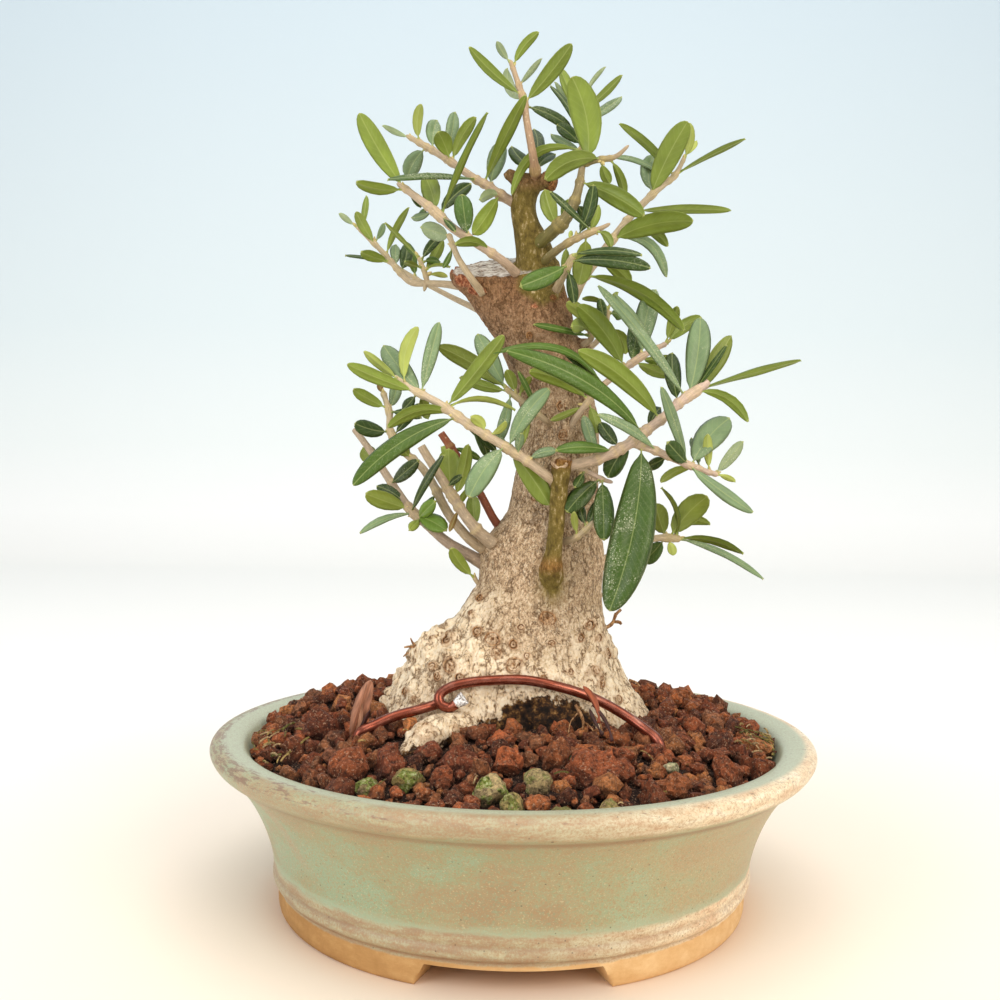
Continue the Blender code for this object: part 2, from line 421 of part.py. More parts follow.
        [(15.8, 92.2, 14.9, 98.4, 18, 2.0, 0.2, 170),
         (17.6, 93.6, 20.8, 101.2, 14.2, 2.8, -0.3, -10),
         (18.4, 94.4, 16.4, 100.4, 13.4, 2.6, 0.4, 10)],
    ),
    "low_right_shoot": (
        [[(19.5, 85.4, -2, 1.5), (24.4, 87.0, -3, 1.35), (30.0, 90.0, -4, 1.2), (35.4, 91.8, -5, 1.1),
          (39.6, 92.0, -6, 1.15), (42.2, 91.8, -7, 0.8)]],
        [(39.2, 92.2, 48.8, 102.8, -2, 6.8, 0.3, -160),
         (38.6, 92.2, 35.6, 100.8, -10, 5.2, 0.4, 165),
         (40.4, 92.2, 49.6, 95.6, -9, 3.2, 3.0, -150),
         (41.0, 92.0, 37.0, 104.8, -1, 3.0, -1.2, 115),
         (41.6, 92.0, 58.2, 88.2, -3, 3.4, 0.8, -130),
         (41.4, 91.8, 63.4, 81.8, 0, 3.0, 0.4, -52),
         (38.2, 92.0, 32.6, 85.8, -10, 4.4, 0.3, 10),
         (38.8, 92.0, 40.3, 87.6, -4, 2.4, 0.3, 170)],
    ),
    "outer_left_shoot": (
        [[(-7.4, 84.6, 1, 2.3), (-12.4, 87.4, 2, 1.9), (-17, 90.0, 2, 1.7), (-22, 94.2, 0, 1.5),
          (-26.6, 98.2, -2, 1.4), (-30.4, 103.4, -5, 1.3), (-34, 108.6, -7, 1.25), (-37.6, 114.0, -9, 1.1),
          (-41.2, 118.6, -11, 1.0)]],
        [(-27.0, 98.6, -38.2, 102.4, 3, 5.0, 0.3, 160),
         (-27.4, 99.2, -35.4, 104.2, -6, 3.4, -0.6, 20),
         (-25.8, 97.4, -39.6, 92.2, 1, 2.6, -0.5, 40),
         (-25.0, 96.8, -17.6, 93.2, 7, 5.0, 0.4, -15),
         (-24.4, 96.4, -20.4, 100.6, 8.5, 3.8, 0.2, -10),
         (-24.2, 96.2, -27.0, 93.2, 5, 2.6, 0.2, 15),
         (-26.4, 98.0, -18.4, 112.4, 21, 2.8, 0.3, -35),
         (-31.6, 105.2, -24.8, 111.0, 5, 3.8, -0.3, -12),
         (-34.6, 109.6, -39.0, 114.0, -10, 4.6, 0.4, 165)],
    ),
    "middle_left_shoot": (
        [[(-8.0, 88.6, 4, 1.9), (-12.4, 91.8, 5.6, 1.6), (-17, 97.4, 4, 1.5), (-20.6, 104.0, 1, 1.4),
          (-24, 109.2, -2, 1.3), (-28.8, 113.4, -5, 1.25), (-32.0, 118.0, -7, 1.15), (-32.4, 123.0, -8, 1.0),
          (-34.2, 128.6, -9, 0.8)]],
        [(-32.2, 118.2, -41.2, 120.2, -4, 4.4, 0.7, 18),
         (-32.6, 124.0, -41.6, 128.9, -5, 3.8, 0.5, 150),
         (-32.5, 123.6, -30.4, 131.0, -13, 3.2, -0.2, 10),
         (-32.4, 122.8, -24.2, 121.8, -4, 2.8, 0.3, -30),
         (-31.4, 117.0, -24.8, 125.4, -10, 2.8, -0.3, -20),
         (-26.2, 111.4, -30.4, 115.2, 0, 3.8, 0.2, 165),
         (-33.8, 127.6, -35.2, 130.4, -8, 1.6, 0.1, 180),
         (-20.0, 103.0, -23.9, 98.4, -2, 2.2, 0.5, 25)],
    ),
    "inner_left_shoot": (
        [[(-5.6, 90.0, 7, 2.2), (-9.4, 93.0, 9, 1.9), (-12.8, 97.0, 10, 1.7), (-16.2, 102.2, 10, 1.6),
          (-19.4, 107.0, 10, 1.5), (-22.0, 111.0, 10, 1.45), (-24.2, 114.6, 10, 1.35)]],
        [(-16.2, 102.4, -17.2, 114.0, 5, 6.2, 0.4, 170),
         (-15.6, 101.6, -12.3, 115.2, 6, 3.6, -0.6, -165),
         (-17.4, 104.0, -13.6, 107.2, 13, 2.0, 0.3, -20),
         (-10.0, 93.6, -10.9, 102.4, 5.6, 3.8, 0.3, 175),
         (-14.2, 99.2, -16.8, 93.0, 9, 1.6, 0.2, 160)],
    ),
    "rust_shoot": (
        [[(-2.6, 92.6, 0, 1.6), (-5.6, 96.4, 1, 1.35), (-9.0, 102.6, 2, 1.3), (-12.6, 108.6, 2, 1.3),
          (-16.0, 113.4, 2, 1.3), (-19.2, 118.0, 2, 1.2)]],
        [(-11.2, 106.0, -14.9, 99.8, 6, 1.8, 0.2, 170),
         (-16.8, 114.6, -9.0, 111.4, -2, 2.0, 0.2, -15),
         (-14.0, 110.6, -19.0, 114.4, -4, 3.2, 0.2, 160)],
    ),
    "base_leaf": (
        [[(-7.6, 78.2, 1, 0.9), (-9.6, 80.2, 2, 0.7), (-10.6, 82.0, 2, 0.5)]],
        [(-10.0, 81.2, -16.2, 88.8, 8, 3.6, 0.7, 160)],
    ),
}

# Fallen leaves that stand in the soil: foot and tip as across, up, forward, then width, bow, turn.
DRY_LEAVES = {
    "dry_leaf_left": (-41.2, 38.6, 21, -36.2, 54.0, 22, 5.0, 0.6, 25),
    "dry_leaf_right": (25.6, 39.0, 34, 18.3, 55.4, 27, 1.8, -1.0, 20),
}


def clear_scene():
    """Remove every object of the file that the script starts in."""
    for item in list(bpy.data.objects):
        bpy.data.objects.remove(item, do_unlink=True)


def finish(name, colour, roughness, metallic=0.0):
    """A Principled material in one colour."""
    material = bpy.data.materials.new(name)
    material.use_nodes = True
    shader = material.node_tree.nodes["Principled BSDF"]
    shader.inputs["Base Color"].default_value = (*colour, 1.0)
    shader.inputs["Roughness"].default_value = roughness
    shader.inputs["Metallic"].default_value = metallic
    return material


def solid(name, verts, faces, material):
    """An object from points in millimetres and faces."""
    mesh = bpy.data.meshes.new(name)
    mesh.from_pydata([tuple(float(c) * MM for c in v) for v in verts], [], faces)
    mesh.materials.append(material)
    mesh.update()
    item = bpy.data.objects.new(name, mesh)
    bpy.context.scene.collection.objects.link(item)
    return item


def tidy_mesh(item):
    """Merge points that a Boolean left on top of each other, and split all faces into triangles."""
    shape = bmesh.new()
    shape.from_mesh(item.data)
    bmesh.ops.remove_doubles(shape, verts=shape.verts, dist=MERGE * MM)
    bmesh.ops.dissolve_degenerate(shape, edges=shape.edges, dist=MERGE * MM)
    bmesh.ops.dissolve_limit(shape, angle_limit=FLAT_ANGLE, verts=shape.verts, edges=shape.edges)
    bmesh.ops.triangulate(shape, faces=shape.faces)
    shape.to_mesh(item.data)
    shape.free()


def combine(item, others, operation):
    """Join the others to the item, or cut them from it, and remove them."""
    group = bpy.data.collections.new(item.name + "_pieces")
    bpy.context.scene.collection.children.link(group)
    for other in others:
        bpy.context.scene.collection.objects.unlink(other)
        group.objects.link(other)
    modifier = item.modifiers.new("Combine", "BOOLEAN")
    modifier.operation = operation
    modifier.operand_type = "COLLECTION"
    modifier.collection = group
    modifier.solver = "EXACT"
    bpy.context.view_layer.update()
    graph = bpy.context.evaluated_depsgraph_get()
    mesh = bpy.data.meshes.new_from_object(item.evaluated_get(graph))
    item.modifiers.clear()
    item.data = mesh
    for other in others:
        bpy.data.objects.remove(other, do_unlink=True)
    bpy.data.collections.remove(group)
    tidy_mesh(item)


def drop_scraps(item):
    """Remove every loose scrap that a cut left, and keep the largest body."""
    shape = bmesh.new()
    shape.from_mesh(item.data)
    waiting = set(shape.verts)
    bodies = []
    while waiting:
        body = []
        front = [waiting.pop()]
        while front:
            vert = front.pop()
            body.append(vert)
            near = [edge.other_vert(vert) for edge in vert.link_edges]
            near = [other for other in near if other in waiting]
            waiting.difference_update(near)
            front += near
        bodies.append(body)
    bodies.sort(key=len)
    for body in bodies[:-1]:
        bmesh.ops.delete(shape, geom=body, context="VERTS")
    shape.to_mesh(item.data)
    shape.free()


def unit(vector):
    """The vector at length one."""
    return vector / np.linalg.norm(vector)


def tube(rows, sides, grow=0.0):
    """Points and faces of a closed round tube through rows of x, y, z, radius."""
    centres = rows[:, :3]
    tangents = np.gradient(centres, axis=0)
    side = unit(np.cross(tangents[0], [0.3, 0.9, 0.2]))
    verts = []
    for centre, tangent, radius in zip(centres, tangents, rows[:, 3]):
        tangent = unit(tangent)
        side = unit(side - tangent * np.dot(side, tangent))
        other = np.cross(tangent, side)
        for corner in range(sides):
            angle = 2 * math.pi * corner / sides
            verts.append(centre + (radius + grow) * (math.cos(angle) * side + math.sin(angle) * other))
    return verts, loft_faces(len(rows), sides)


def upright(x, y, low, high, radius, sides):
    """Points and faces of an upright round plug from low to high."""
    return tube(np.array([(x, y, low, radius), (x, y, high, radius)]), sides)


def loft_faces(rings, sides):
    """Triangles between rings of equal count, with one flat face over each end."""
    faces = []
    for ring in range(rings - 1):
        for corner in range(sides):
            a = ring * sides + corner
            b = ring * sides + (corner + 1) % sides
            faces.append((a, b, b + sides))
            faces.append((a, b + sides, a + sides))
    faces.append(tuple(reversed(range(sides))))
    faces.append(tuple(range((rings - 1) * sides, rings * sides)))
    return faces


def stem_rows(points):
    """A stem's points in space with its real radii, from how it shows."""
    return np.array([(*seen(across, up, forward), radius * shrink(forward))
                     for across, up, forward, radius in points])


def stem_sides(points):
    """How many sides a stem has: fewer on a thin one."""
    return 6 if points[0][3] > THICK_STEM else 5


def blade(base, tip, width, bow, turn):
    """Points and triangles of one folded, pointed leaf with its stalk end at base."""
    length = np.linalg.norm(tip - base)
    middle = (base + tip) / 2
    sight = unit(VIEWPOINT - middle)
    along = unit(tip - base)
    left = unit(np.cross(sight, along))
    bend = middle + left * bow * 2
    angle = math.radians(turn)
    half = width / 2
    stations = next(rows for longest, rows in BLADE_STATIONS if length < longest)
    verts = []
    for place, fullness in stations:
        centre = base * (1 - place) ** 2 + bend * 2 * place * (1 - place) + tip * place ** 2
        run = unit((bend - base) * (1 - place) + (tip - bend) * place)
        facing = unit(sight - run * np.dot(sight, run))
        aside = np.cross(run, facing)
        upper = math.cos(angle) * facing + math.sin(angle) * aside
        across = np.cross(run, upper)
        reach = max(PETIOLE, half * fullness)
        lift = upper * reach * BLADE_FOLD * fullness
        thick = upper * BLADE_THICKNESS / 2
        verts += [centre - across * reach + lift, centre + thick, centre + across * reach + lift, centre - thick]
    verts.append(tip)
    faces = [(0, 3, 2), (0, 2, 1)]
    for ring in range(len(stations) - 1):
        for corner in range(4):
            a = ring * 4 + corner
            b = ring * 4 + (corner + 1) % 4
            if corner in (0, 2):
                faces += [(a, b, a + 4), (b, b + 4, a + 4)]
            else:
                faces += [(a, b, b + 4), (a, b + 4, a + 4)]
    last = (len(stations) - 1) * 4
    for corner in range(4):
        faces.append((last + corner, last + (corner + 1) % 4, last + 4))
    return verts, faces


def nearest_on_stems(stems, across, up):
    """The point on the stems' middle lines that shows nearest to (across, up)."""
    wanted = seen(across, up, 0.0)
    best = None
    for rows in stems:
        places = np.linspace(0, len(rows) - 1, 12 * len(rows))
        line = np.array([np.interp(places, range(len(rows)), rows[:, axis]) for axis in range(3)]).T
        depth = line[:, 1:2] / VIEWPOINT[1]
        shown = (line - VIEWPOINT * depth) / (1 - depth)
        away = np.linalg.norm(shown - wanted, axis=1)
        index = int(np.argmin(away))
        if best is None or away[index] < best[0]:
            best = (away[index], line[index])
    return best[1]


def make_shoot(name, material):
    """A leafy shoot: its stems and all its leaves, fused."""
    stem_points, leaves = SHOOTS[name]
    stems = [stem_rows(points) for points in stem_points]
    pieces = []
    for points, rows in zip(stem_points, stems):
        verts, faces = tube(rows, stem_sides(points))
        pieces.append(solid(name, verts, faces, material))
    for across, up, tip_across, tip_up, forward, width, bow, turn in leaves:
        base = nearest_on_stems(stems, across, up)
        tip = seen(tip_across, tip_up, forward)
        verts, faces = blade(base, tip, width * shrink(forward), bow, turn)
        pieces.append(solid(name + "_leaf", verts, faces, material))
    combine(pieces[0], pieces[1:], "UNION")
    return pieces[0]


def bark_relief(angle, height):
    """How far the bark stands out or in, as a share of the radius: most in front and behind."""
    low = max(0.0, min(1.0, (78.0 - height) / 30.0))
    roots = 0.07 * math.sin(5 * angle + 0.9) + 0.04 * math.sin(9 * angle + 0.11 * height)
    lumps = 0.02 * math.sin(3 * angle + 0.21 * height) + 0.014 * math.sin(7 * angle - 0.33 * height)
    return (low * roots + lumps) * math.sin(angle) ** 2


def wood_rings(sections, sides, grow, sloped_top):
    """Rings of a woody body through its sections, each an oval with bark relief."""
    verts = []
    top = len(sections) - 1
    for index, (height, left, right, depth, back) in enumerate(sections):
        middle = (left + right) / 2
        half = (right - left) / 2
        for corner in range(sides):
            angle = 2 * math.pi * corner / sides
            reach = 1.0 + bark_relief(angle, height)
            x = middle + (half * reach + grow) * math.cos(angle)
            y = back + (depth * reach + grow) * math.sin(angle)
            z = height + LEVEL
            if index == top and sloped_top:
                z += CUT_SLOPE_BACK * y + CUT_SLOPE_SIDE * (x - middle)
            if index == 0:
                z -= grow
            verts.append((x, y, z))
    return verts


def make_trunk(material):
    """The trunk with its spreading base, its leader and its stubs, in one piece."""
    verts = wood_rings(TRUNK_SECTIONS, TRUNK_SIDES, 0.0, True)
    trunk = solid("trunk", verts, loft_faces(len(TRUNK_SECTIONS), TRUNK_SIDES), material)
    verts = wood_rings(LEADER_SECTIONS, LEADER_SIDES, 0.0, False)
    leader = solid("leader", verts, loft_faces(len(LEADER_SECTIONS), LEADER_SIDES), material)
    parts = [leader]
    for points in STUBS:
        verts, faces = tube(stem_rows(points), STUB_SIDES)
        parts.append(solid("stub", verts, faces, material))
    combine(trunk, parts, "UNION")
    return trunk


def root_cutter(material):
    """The trunk's foot and its roots with a gap's thickness added, for the hole in the soil."""
    low_sections = [section for section in TRUNK_SECTIONS if section[0] < BURIED_BELOW]
    verts = wood_rings(low_sections, TRUNK_SIDES, GAP, False)
    foot = solid("foot", verts, loft_faces(len(low_sections), TRUNK_SIDES), material)
    roots = []
    for points in STUBS:
        if points[-1][1] < ROOT_END_BELOW:
            verts, faces = tube(stem_rows(points), STUB_SIDES, GAP)
            roots.append(solid("root", verts, faces, material))
    combine(foot, roots, "UNION")
    return foot


def make_sockets(trunk, material):
    """Cut a plain hole in the trunk for the foot of every shoot that grows from it."""
    cutters = []
    for stems, _leaves in SHOOTS.values():
        rows = stem_rows(stems[0])[:SOCKET_POINTS]
        rows[0, :3] -= unit(rows[1, :3] - rows[0, :3]) * GAP
        verts, faces = tube(rows, stem_sides(stems[0]), GAP)
        cutters.append(solid("socket", verts, faces, material))
    combine(trunk, cutters, "DIFFERENCE")
    drop_scraps(trunk)


def ring_points(radius, height, sides):
    """Points on a level circle."""
    angles = [2 * math.pi * corner / sides for corner in range(sides)]
    return [(radius * math.cos(a), radius * math.sin(a), height) for a in angles]


POT_PROFILE = [
    (54.0, FOOT_HEIGHT), (58.4, FOOT_HEIGHT + 0.1), (58.7, 7.0), (59.4, 8.0), (59.4, 10.8), (61.0, 18.0),
    (63.1, 23.6), (66.2, 29.6), (70.4, 34.6), (74.2, 37.3), (RIM_RADIUS, 39.2), (74.4, 40.8), (73.0, RIM_HEIGHT),
    (69.0, RIM_HEIGHT), (MOUTH_RADIUS, 40.2), (65.4, 37.6), (60.6, 29.0), (57.0, 22.0), (54.6, 12.0),
    (51.0, FLOOR_TOP),
]
# The profile's points from here on are the inside of the pot.
INNER_START = 14


def make_pot(material):
    """The round glazed pot: a turned wall and floor, three feet and two drain holes."""
    verts = []
    for radius, height in POT_PROFILE:
        verts += ring_points(radius, height, POT_SIDES)
    pot = solid("pot", verts, loft_faces(len(POT_PROFILE), POT_SIDES), material)
    feet = [pot_foot(index, material) for index in range(FOOT_COUNT)]
    combine(pot, feet, "UNION")
    drains = []
    for offset in (-DRAIN_OFFSET, DRAIN_OFFSET):
        verts, faces = upright(offset, 0.0, 0.0, 2 * FLOOR_TOP, DRAIN_RADIUS, DRAIN_SIDES)
        drains.append(solid("drain", verts, faces, material))
    combine(pot, drains, "DIFFERENCE")
    return pot


def pot_foot(index, material):
    """One curved foot, whose ends slope inwards to the table."""
    pitch = 2 * math.pi / FOOT_COUNT
    front = -math.pi / 2
    steps = 7
    verts = []
    for step in range(steps):
        share = step / (steps - 1)
        for radius, height in ((FOOT_RADIUS, 0.0), (FOOT_RADIUS - 0.2, FOOT_HEIGHT + 1.0),
                               (FOOT_INNER_RADIUS + 1.5, FOOT_HEIGHT + 1.0), (FOOT_INNER_RADIUS, 0.0)):
            gap = FOOT_GAP_AT_TABLE if height == 0.0 else FOOT_GAP_AT_BODY
            start = front + gap / 2 + index * pitch
            angle = start + share * (pitch - gap)
            verts.append((radius * math.cos(angle), radius * math.sin(angle), height))
    return solid("foot", verts, loft_faces(steps, 4), material)


def soil_height(x, y):
    """The mound of soil over the pot's mouth, with its heaps."""
    share = min(1.0, math.hypot(x, y) / MOUTH_RADIUS)
    height = SOIL_EDGE_HEIGHT + SOIL_MOUND * (1.0 - share ** SOIL_FALL)
    for heap_x, heap_y, rise, spread in SOIL_HEAPS:
        height += rise * math.exp(-((x - heap_x) ** 2 + (y - heap_y) ** 2) / (2 * spread ** 2))
    return height


def granule_points(rng):
    """Tops and valleys of granules on a jittered triangular net that fills the pot's mouth."""
    pitch_y = GRANULE * math.sqrt(3) / 2
    count = int(MOUTH_RADIUS / pitch_y) + 2
    tops = []
    valleys = []
    for row in range(-count, count + 1):
        for column in range(-count - 2, count + 3):
            x = (column + 0.5 * (row % 2)) * GRANULE
            y = row * pitch_y
            jitter = rng.uniform(-GRANULE_JITTER, GRANULE_JITTER, 2) * GRANULE
            rise = GRANULE_RELIEF * rng.uniform(0.6, 1.5)
            tops.append((x + jitter[0], y + jitter[1], rise))
            valleys.append((x, y + GRANULE / math.sqrt(3), -0.5 * rise))
            valleys.append((x + GRANULE / 2, y + GRANULE / (2 * math.sqrt(3)), -0.3 * rise))
    return tops + valleys


def make_soil(cutters, material):
    """Soil that fills the pot and mounds up round the trunk, its top in granules."""
    rng = np.random.default_rng(SEED)
    edge_radius = inner_radius(SOIL_EDGE_HEIGHT) - GAP
    rim = ring_points(edge_radius, SOIL_EDGE_HEIGHT, POT_SIDES)
    points = [(x, y, h) for x, y, h in granule_points(rng) if math.hypot(x, y) < edge_radius - GRANULE_FROM_RIM]
    flat = [Vector((x, y)) for x, y, _z in rim] + [Vector((x, y)) for x, y, _h in points]
    net = delaunay_2d_cdt(flat, [], [], 0, 1e-6)
    heights = [0.0] * len(rim) + [h for _x, _y, h in points]
    verts = [(v.x, v.y, soil_height(v.x, v.y) + heights[i]) for i, v in enumerate(net[0])]
    verts[:POT_SIDES] = rim
    faces = [tuple(face) for face in net[2]]
    base = len(verts)
    for height in SOIL_LEVELS:
        verts += ring_points(inner_radius(height) - GAP, height, POT_SIDES)
    for level in range(len(SOIL_LEVELS)):
        for corner in range(POT_SIDES):
            following = (corner + 1) % POT_SIDES
            above = base + (level - 1) * POT_SIDES if level else 0
            below = base + level * POT_SIDES
            faces.append((below + corner, below + following, above + following))
            faces.append((below + corner, above + following, above + corner))
    last = base + (len(SOIL_LEVELS) - 1) * POT_SIDES
    faces.append(tuple(reversed(range(last, last + POT_SIDES))))
    soil = solid("soil", verts, faces, material)
    combine(soil, cutters, "DIFFERENCE")
    drop_scraps(soil)
    return soil


def inner_radius(height):
    """The pot's inner radius at a height, from its profile."""
    inner = sorted((z, r) for r, z in POT_PROFILE[INNER_START:])
    return float(np.interp(height, [z for z, _r in inner], [r for _z, r in inner]))


def make_wire(name, grow, material):
    """The bent wire, or the channel that it lies in when grow is the gap."""
    over = [seen(*point) for point in WIRE_OVER]
    back = [seen(*point) for point in WIRE_BACK]
    route = [(*point, WIRE_RADIUS) for point in over + WIRE_UNDER + back]
    verts, faces = tube(np.array(route), WIRE_SIDES, grow)
    return solid(name, verts, faces, material)


def drain_disc(name, offset, grow, material):
    """A round plate over a drain hole, or the room for it when grow is the gap."""
    low = FLOOR_TOP + GAP - grow
    high = FLOOR_TOP + GAP + SCREEN_THICKNESS + grow
    radius = SCREEN_RADIUS + grow
    verts, faces = upright(offset, 0.0, low, high, radius, DRAIN_SIDES)
    return solid(name, verts, faces, material)


def make_screen(name, offset, wire, material):
    """The plastic net over a drain hole: a thin disc with holes, one of them for the wire."""
    screen = drain_disc(name, offset, 0.0, material)
    holes = [wire]
    for index in range(SCREEN_HOLES):
        angle = 2 * math.pi * (index + 0.5) / SCREEN_HOLES
        x = offset + SCREEN_HOLE_RING * math.cos(angle)
        y = SCREEN_HOLE_RING * math.sin(angle)
        verts, faces = upright(x, y, 0.0, 2 * FLOOR_TOP, SCREEN_HOLE, 4)
        holes.append(solid("hole", verts, faces, material))
    combine(screen, holes, "DIFFERENCE")
    return screen


def make_dry_leaf(name, material):
    """A fallen leaf that stands in the soil."""
    across, up, forward, tip_across, tip_up, tip_forward, width, bow, turn = DRY_LEAVES[name]
    verts, faces = blade(seen(across, up, forward), seen(tip_across, tip_up, tip_forward), width, bow, turn)
    return solid(name, verts, faces, material)


def dry_leaf_hole(name, material):
    """The round hole in the soil that a fallen leaf's foot stands in."""
    across, up, forward, tip_across, tip_up, tip_forward, width, _bow, _turn = DRY_LEAVES[name]
    foot = seen(across, up, forward)
    way = unit(seen(tip_across, tip_up, tip_forward) - foot)
    radius = width * DRY_HOLE_SHARE + GAP
    ends = [foot - way * GAP, foot + way * DRY_HOLE_DEPTH]
    verts, faces = tube(np.array([(*end, radius) for end in ends]), STUB_SIDES)
    return solid("hole", verts, faces, material)


def main():
    clear_scene()
    bark = finish("bark", (0.42, 0.30, 0.19), 0.85)
    foliage = finish("foliage", (0.17, 0.26, 0.06), 0.5)
    glaze = finish("glaze", (0.42, 0.43, 0.29), 0.35)
    granules = finish("granules", (0.20, 0.08, 0.045), 0.95)
    copper = finish("copper_wire", (0.33, 0.12, 0.08), 0.35, 0.9)
    plastic = finish("screen_plastic", (0.05, 0.05, 0.05), 0.6)
    withered = finish("withered", (0.45, 0.25, 0.14), 0.8)

    trunk = make_trunk(bark)
    make_sockets(trunk, bark)
    for name in SHOOTS:
        make_shoot(name, foliage)
    make_wire("hold_down_wire", 0.0, copper)
    for name, offset in (("drain_screen_left", -DRAIN_OFFSET), ("drain_screen_right", DRAIN_OFFSET)):
        make_screen(name, offset, make_wire("channel", GAP, copper), plastic)
    for name in DRY_LEAVES:
        make_dry_leaf(name, withered)
    cutters = [root_cutter(bark), make_wire("channel", GAP, copper)]
    cutters += [drain_disc("room", offset, GAP, plastic) for offset in (-DRAIN_OFFSET, DRAIN_OFFSET)]
    cutters += [dry_leaf_hole(name, withered) for name in DRY_LEAVES]
    make_soil(cutters, granules)
    make_pot(glaze)
    for item in bpy.data.objects:
        item.data.shade_smooth()
        item.data.set_sharp_from_angle(angle=SHARP_ANGLE)


main()
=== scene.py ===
"""Wild olive bonsai in a round glazed bowl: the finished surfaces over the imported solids.

Lengths in the tables are millimetres. The origin is on the table under the middle of the pot, X runs
to the right, Y away from the viewer and Z up.
"""
import math
from functools import partial

import bmesh
import bpy
import numpy as np
from bpy.props import FloatProperty, FloatVectorProperty, PointerProperty
from bpy.types import Operator, Panel, PropertyGroup
from mathutils import Matrix, Vector


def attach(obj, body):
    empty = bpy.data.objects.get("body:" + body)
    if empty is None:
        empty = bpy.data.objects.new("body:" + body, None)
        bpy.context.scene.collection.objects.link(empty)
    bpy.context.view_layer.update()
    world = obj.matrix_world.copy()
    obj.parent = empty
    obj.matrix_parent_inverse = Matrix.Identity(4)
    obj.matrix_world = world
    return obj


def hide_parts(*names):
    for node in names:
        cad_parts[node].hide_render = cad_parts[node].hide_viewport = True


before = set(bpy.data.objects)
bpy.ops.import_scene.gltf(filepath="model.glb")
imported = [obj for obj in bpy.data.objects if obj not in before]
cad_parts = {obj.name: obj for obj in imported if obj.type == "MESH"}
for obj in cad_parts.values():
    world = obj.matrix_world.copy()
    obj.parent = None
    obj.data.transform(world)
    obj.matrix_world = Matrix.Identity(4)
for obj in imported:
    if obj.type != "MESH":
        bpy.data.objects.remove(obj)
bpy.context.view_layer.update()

bl_info = {
    "name": "Olive Bonsai",
    "version": (1, 0, 0),
    "blender": (4, 5, 0),
    "location": "3D View > Sidebar > Bonsai",
    "description": "Builds a wild olive bonsai in a glazed bowl with bark, leaves, soil granules and glaze",
    "category": "Object",
}

MM = 0.001
SEED = 11


def rows_of(text):
    """A table from text, its numbers parted by spaces and its rows by commas."""
    return np.array([row.split() for row in text.split(",")], float)


# The plant is laid out as it shows from this viewpoint. A height is counted from LEVEL.
VIEWPOINT = np.array([-4, -277.4, 105.6])
LEVEL = -1.7
CAMERA_TILT = math.radians(-1.27)
CAMERA_ROLL = math.radians(0.72)
CAMERA_LENS = 39.24

MOUTH_RADIUS = 66.4
FLOOR_TOP = 9.2
DRAIN_OFFSET = 26
DRAIN_RADIUS = 6

# The pot's turned profile as radius, height: under the foot, up the wall, over the lip, down inside.
POT_PROFILE = [
    (0, 5), (30, 5), (44, 5), (48.3, 4.8), (47.4, 0.5), (47.9, 0), (52, 0), (57.5, 0),
    (58.2, 0.5), (58.4, 2.5), (58.3, 4.6), (58.3, 6.2), (58.6, 6.9), (59.4, 7.3), (59.8, 8.2), (59.7, 9.4),
    (59.2, 10), (59.5, 10.7), (59.7, 11.6), (59.6, 12.6), (60, 14.5), (60.9, 18), (63, 23.8),
    (66.2, 29.6), (68.4, 32.4), (70.5, 34.7), (71.5, 35.5), (72.6, 35.9), (73.9, 37), (74.8, 38.5),
    (75, 39.5), (74.5, 40.7), (73.3, 41.4), (71, 41.5), (68.4, 41.1), (66.9, 40.5), (66.2, 39.3),
    (65.4, 37.6), (60.6, 29), (57, 22), (54.6, 12), (52.4, 9.8), (48, FLOOR_TOP), (20, FLOOR_TOP),
    (0, FLOOR_TOP),
]
FOOT_COUNT = 3
FOOT_TOP = 5
FOOT_GAP_AT_TABLE = 21
FOOT_GAP_AT_BODY = 18.5

SOIL_EDGE_HEIGHT = 38.6
SOIL_MOUND = 9.5
SOIL_FALL = 2.6
# Heaps on the mound: x, y, rise, spread.
SOIL_HEAPS = [
    (46, 19, 4, 13), (-43, 14, 4.5, 14), (-30, 40, 1.5, 14),
]

WIRE_RADIUS = 1.2
# The wire from its hook over the roots, as across, up, forward.
WIRE_OVER = rows_of("""
    -14.4 49 23.8, -16.2 47.9 23.3, -18.4 48.7 23, -18.9 51 22.3, -16.4 53 21.6, -12 54.3 21.4, -6 55 21.6,
    3 55.2 22.6, 12 53.5 22.6, 20 51 21.6, 27 47.5 22.6, 33 43.5 25.5, 37.5 39.5 29""")
# Its way down through the soil, under the pot and up again, as x, y, z.
WIRE_UNDER = rows_of("""
    33.6 -27.8 39, 32.8 -23 31, 31 -14 22.5, 27.8 -4 14.5, 26 0 8, 23.6 0 3.4, 19 0 2.4, 0 0 2.2, -19 0 2.4,
    -23.6 0 3.4, -26 0 8, -27.8 -4 14.5, -32 -12 22.5, -35.4 -19 31, -36.8 -23.4 38""")
# And back over the roots into the hook, as across, up, forward.
WIRE_BACK = rows_of("""
    -39.5 40.5 25, -35 43.3 23.6, -30 45.6 22.2, -24 47.3 20.8, -20 48.6 19.6, -17.4 49.7 19.4""")

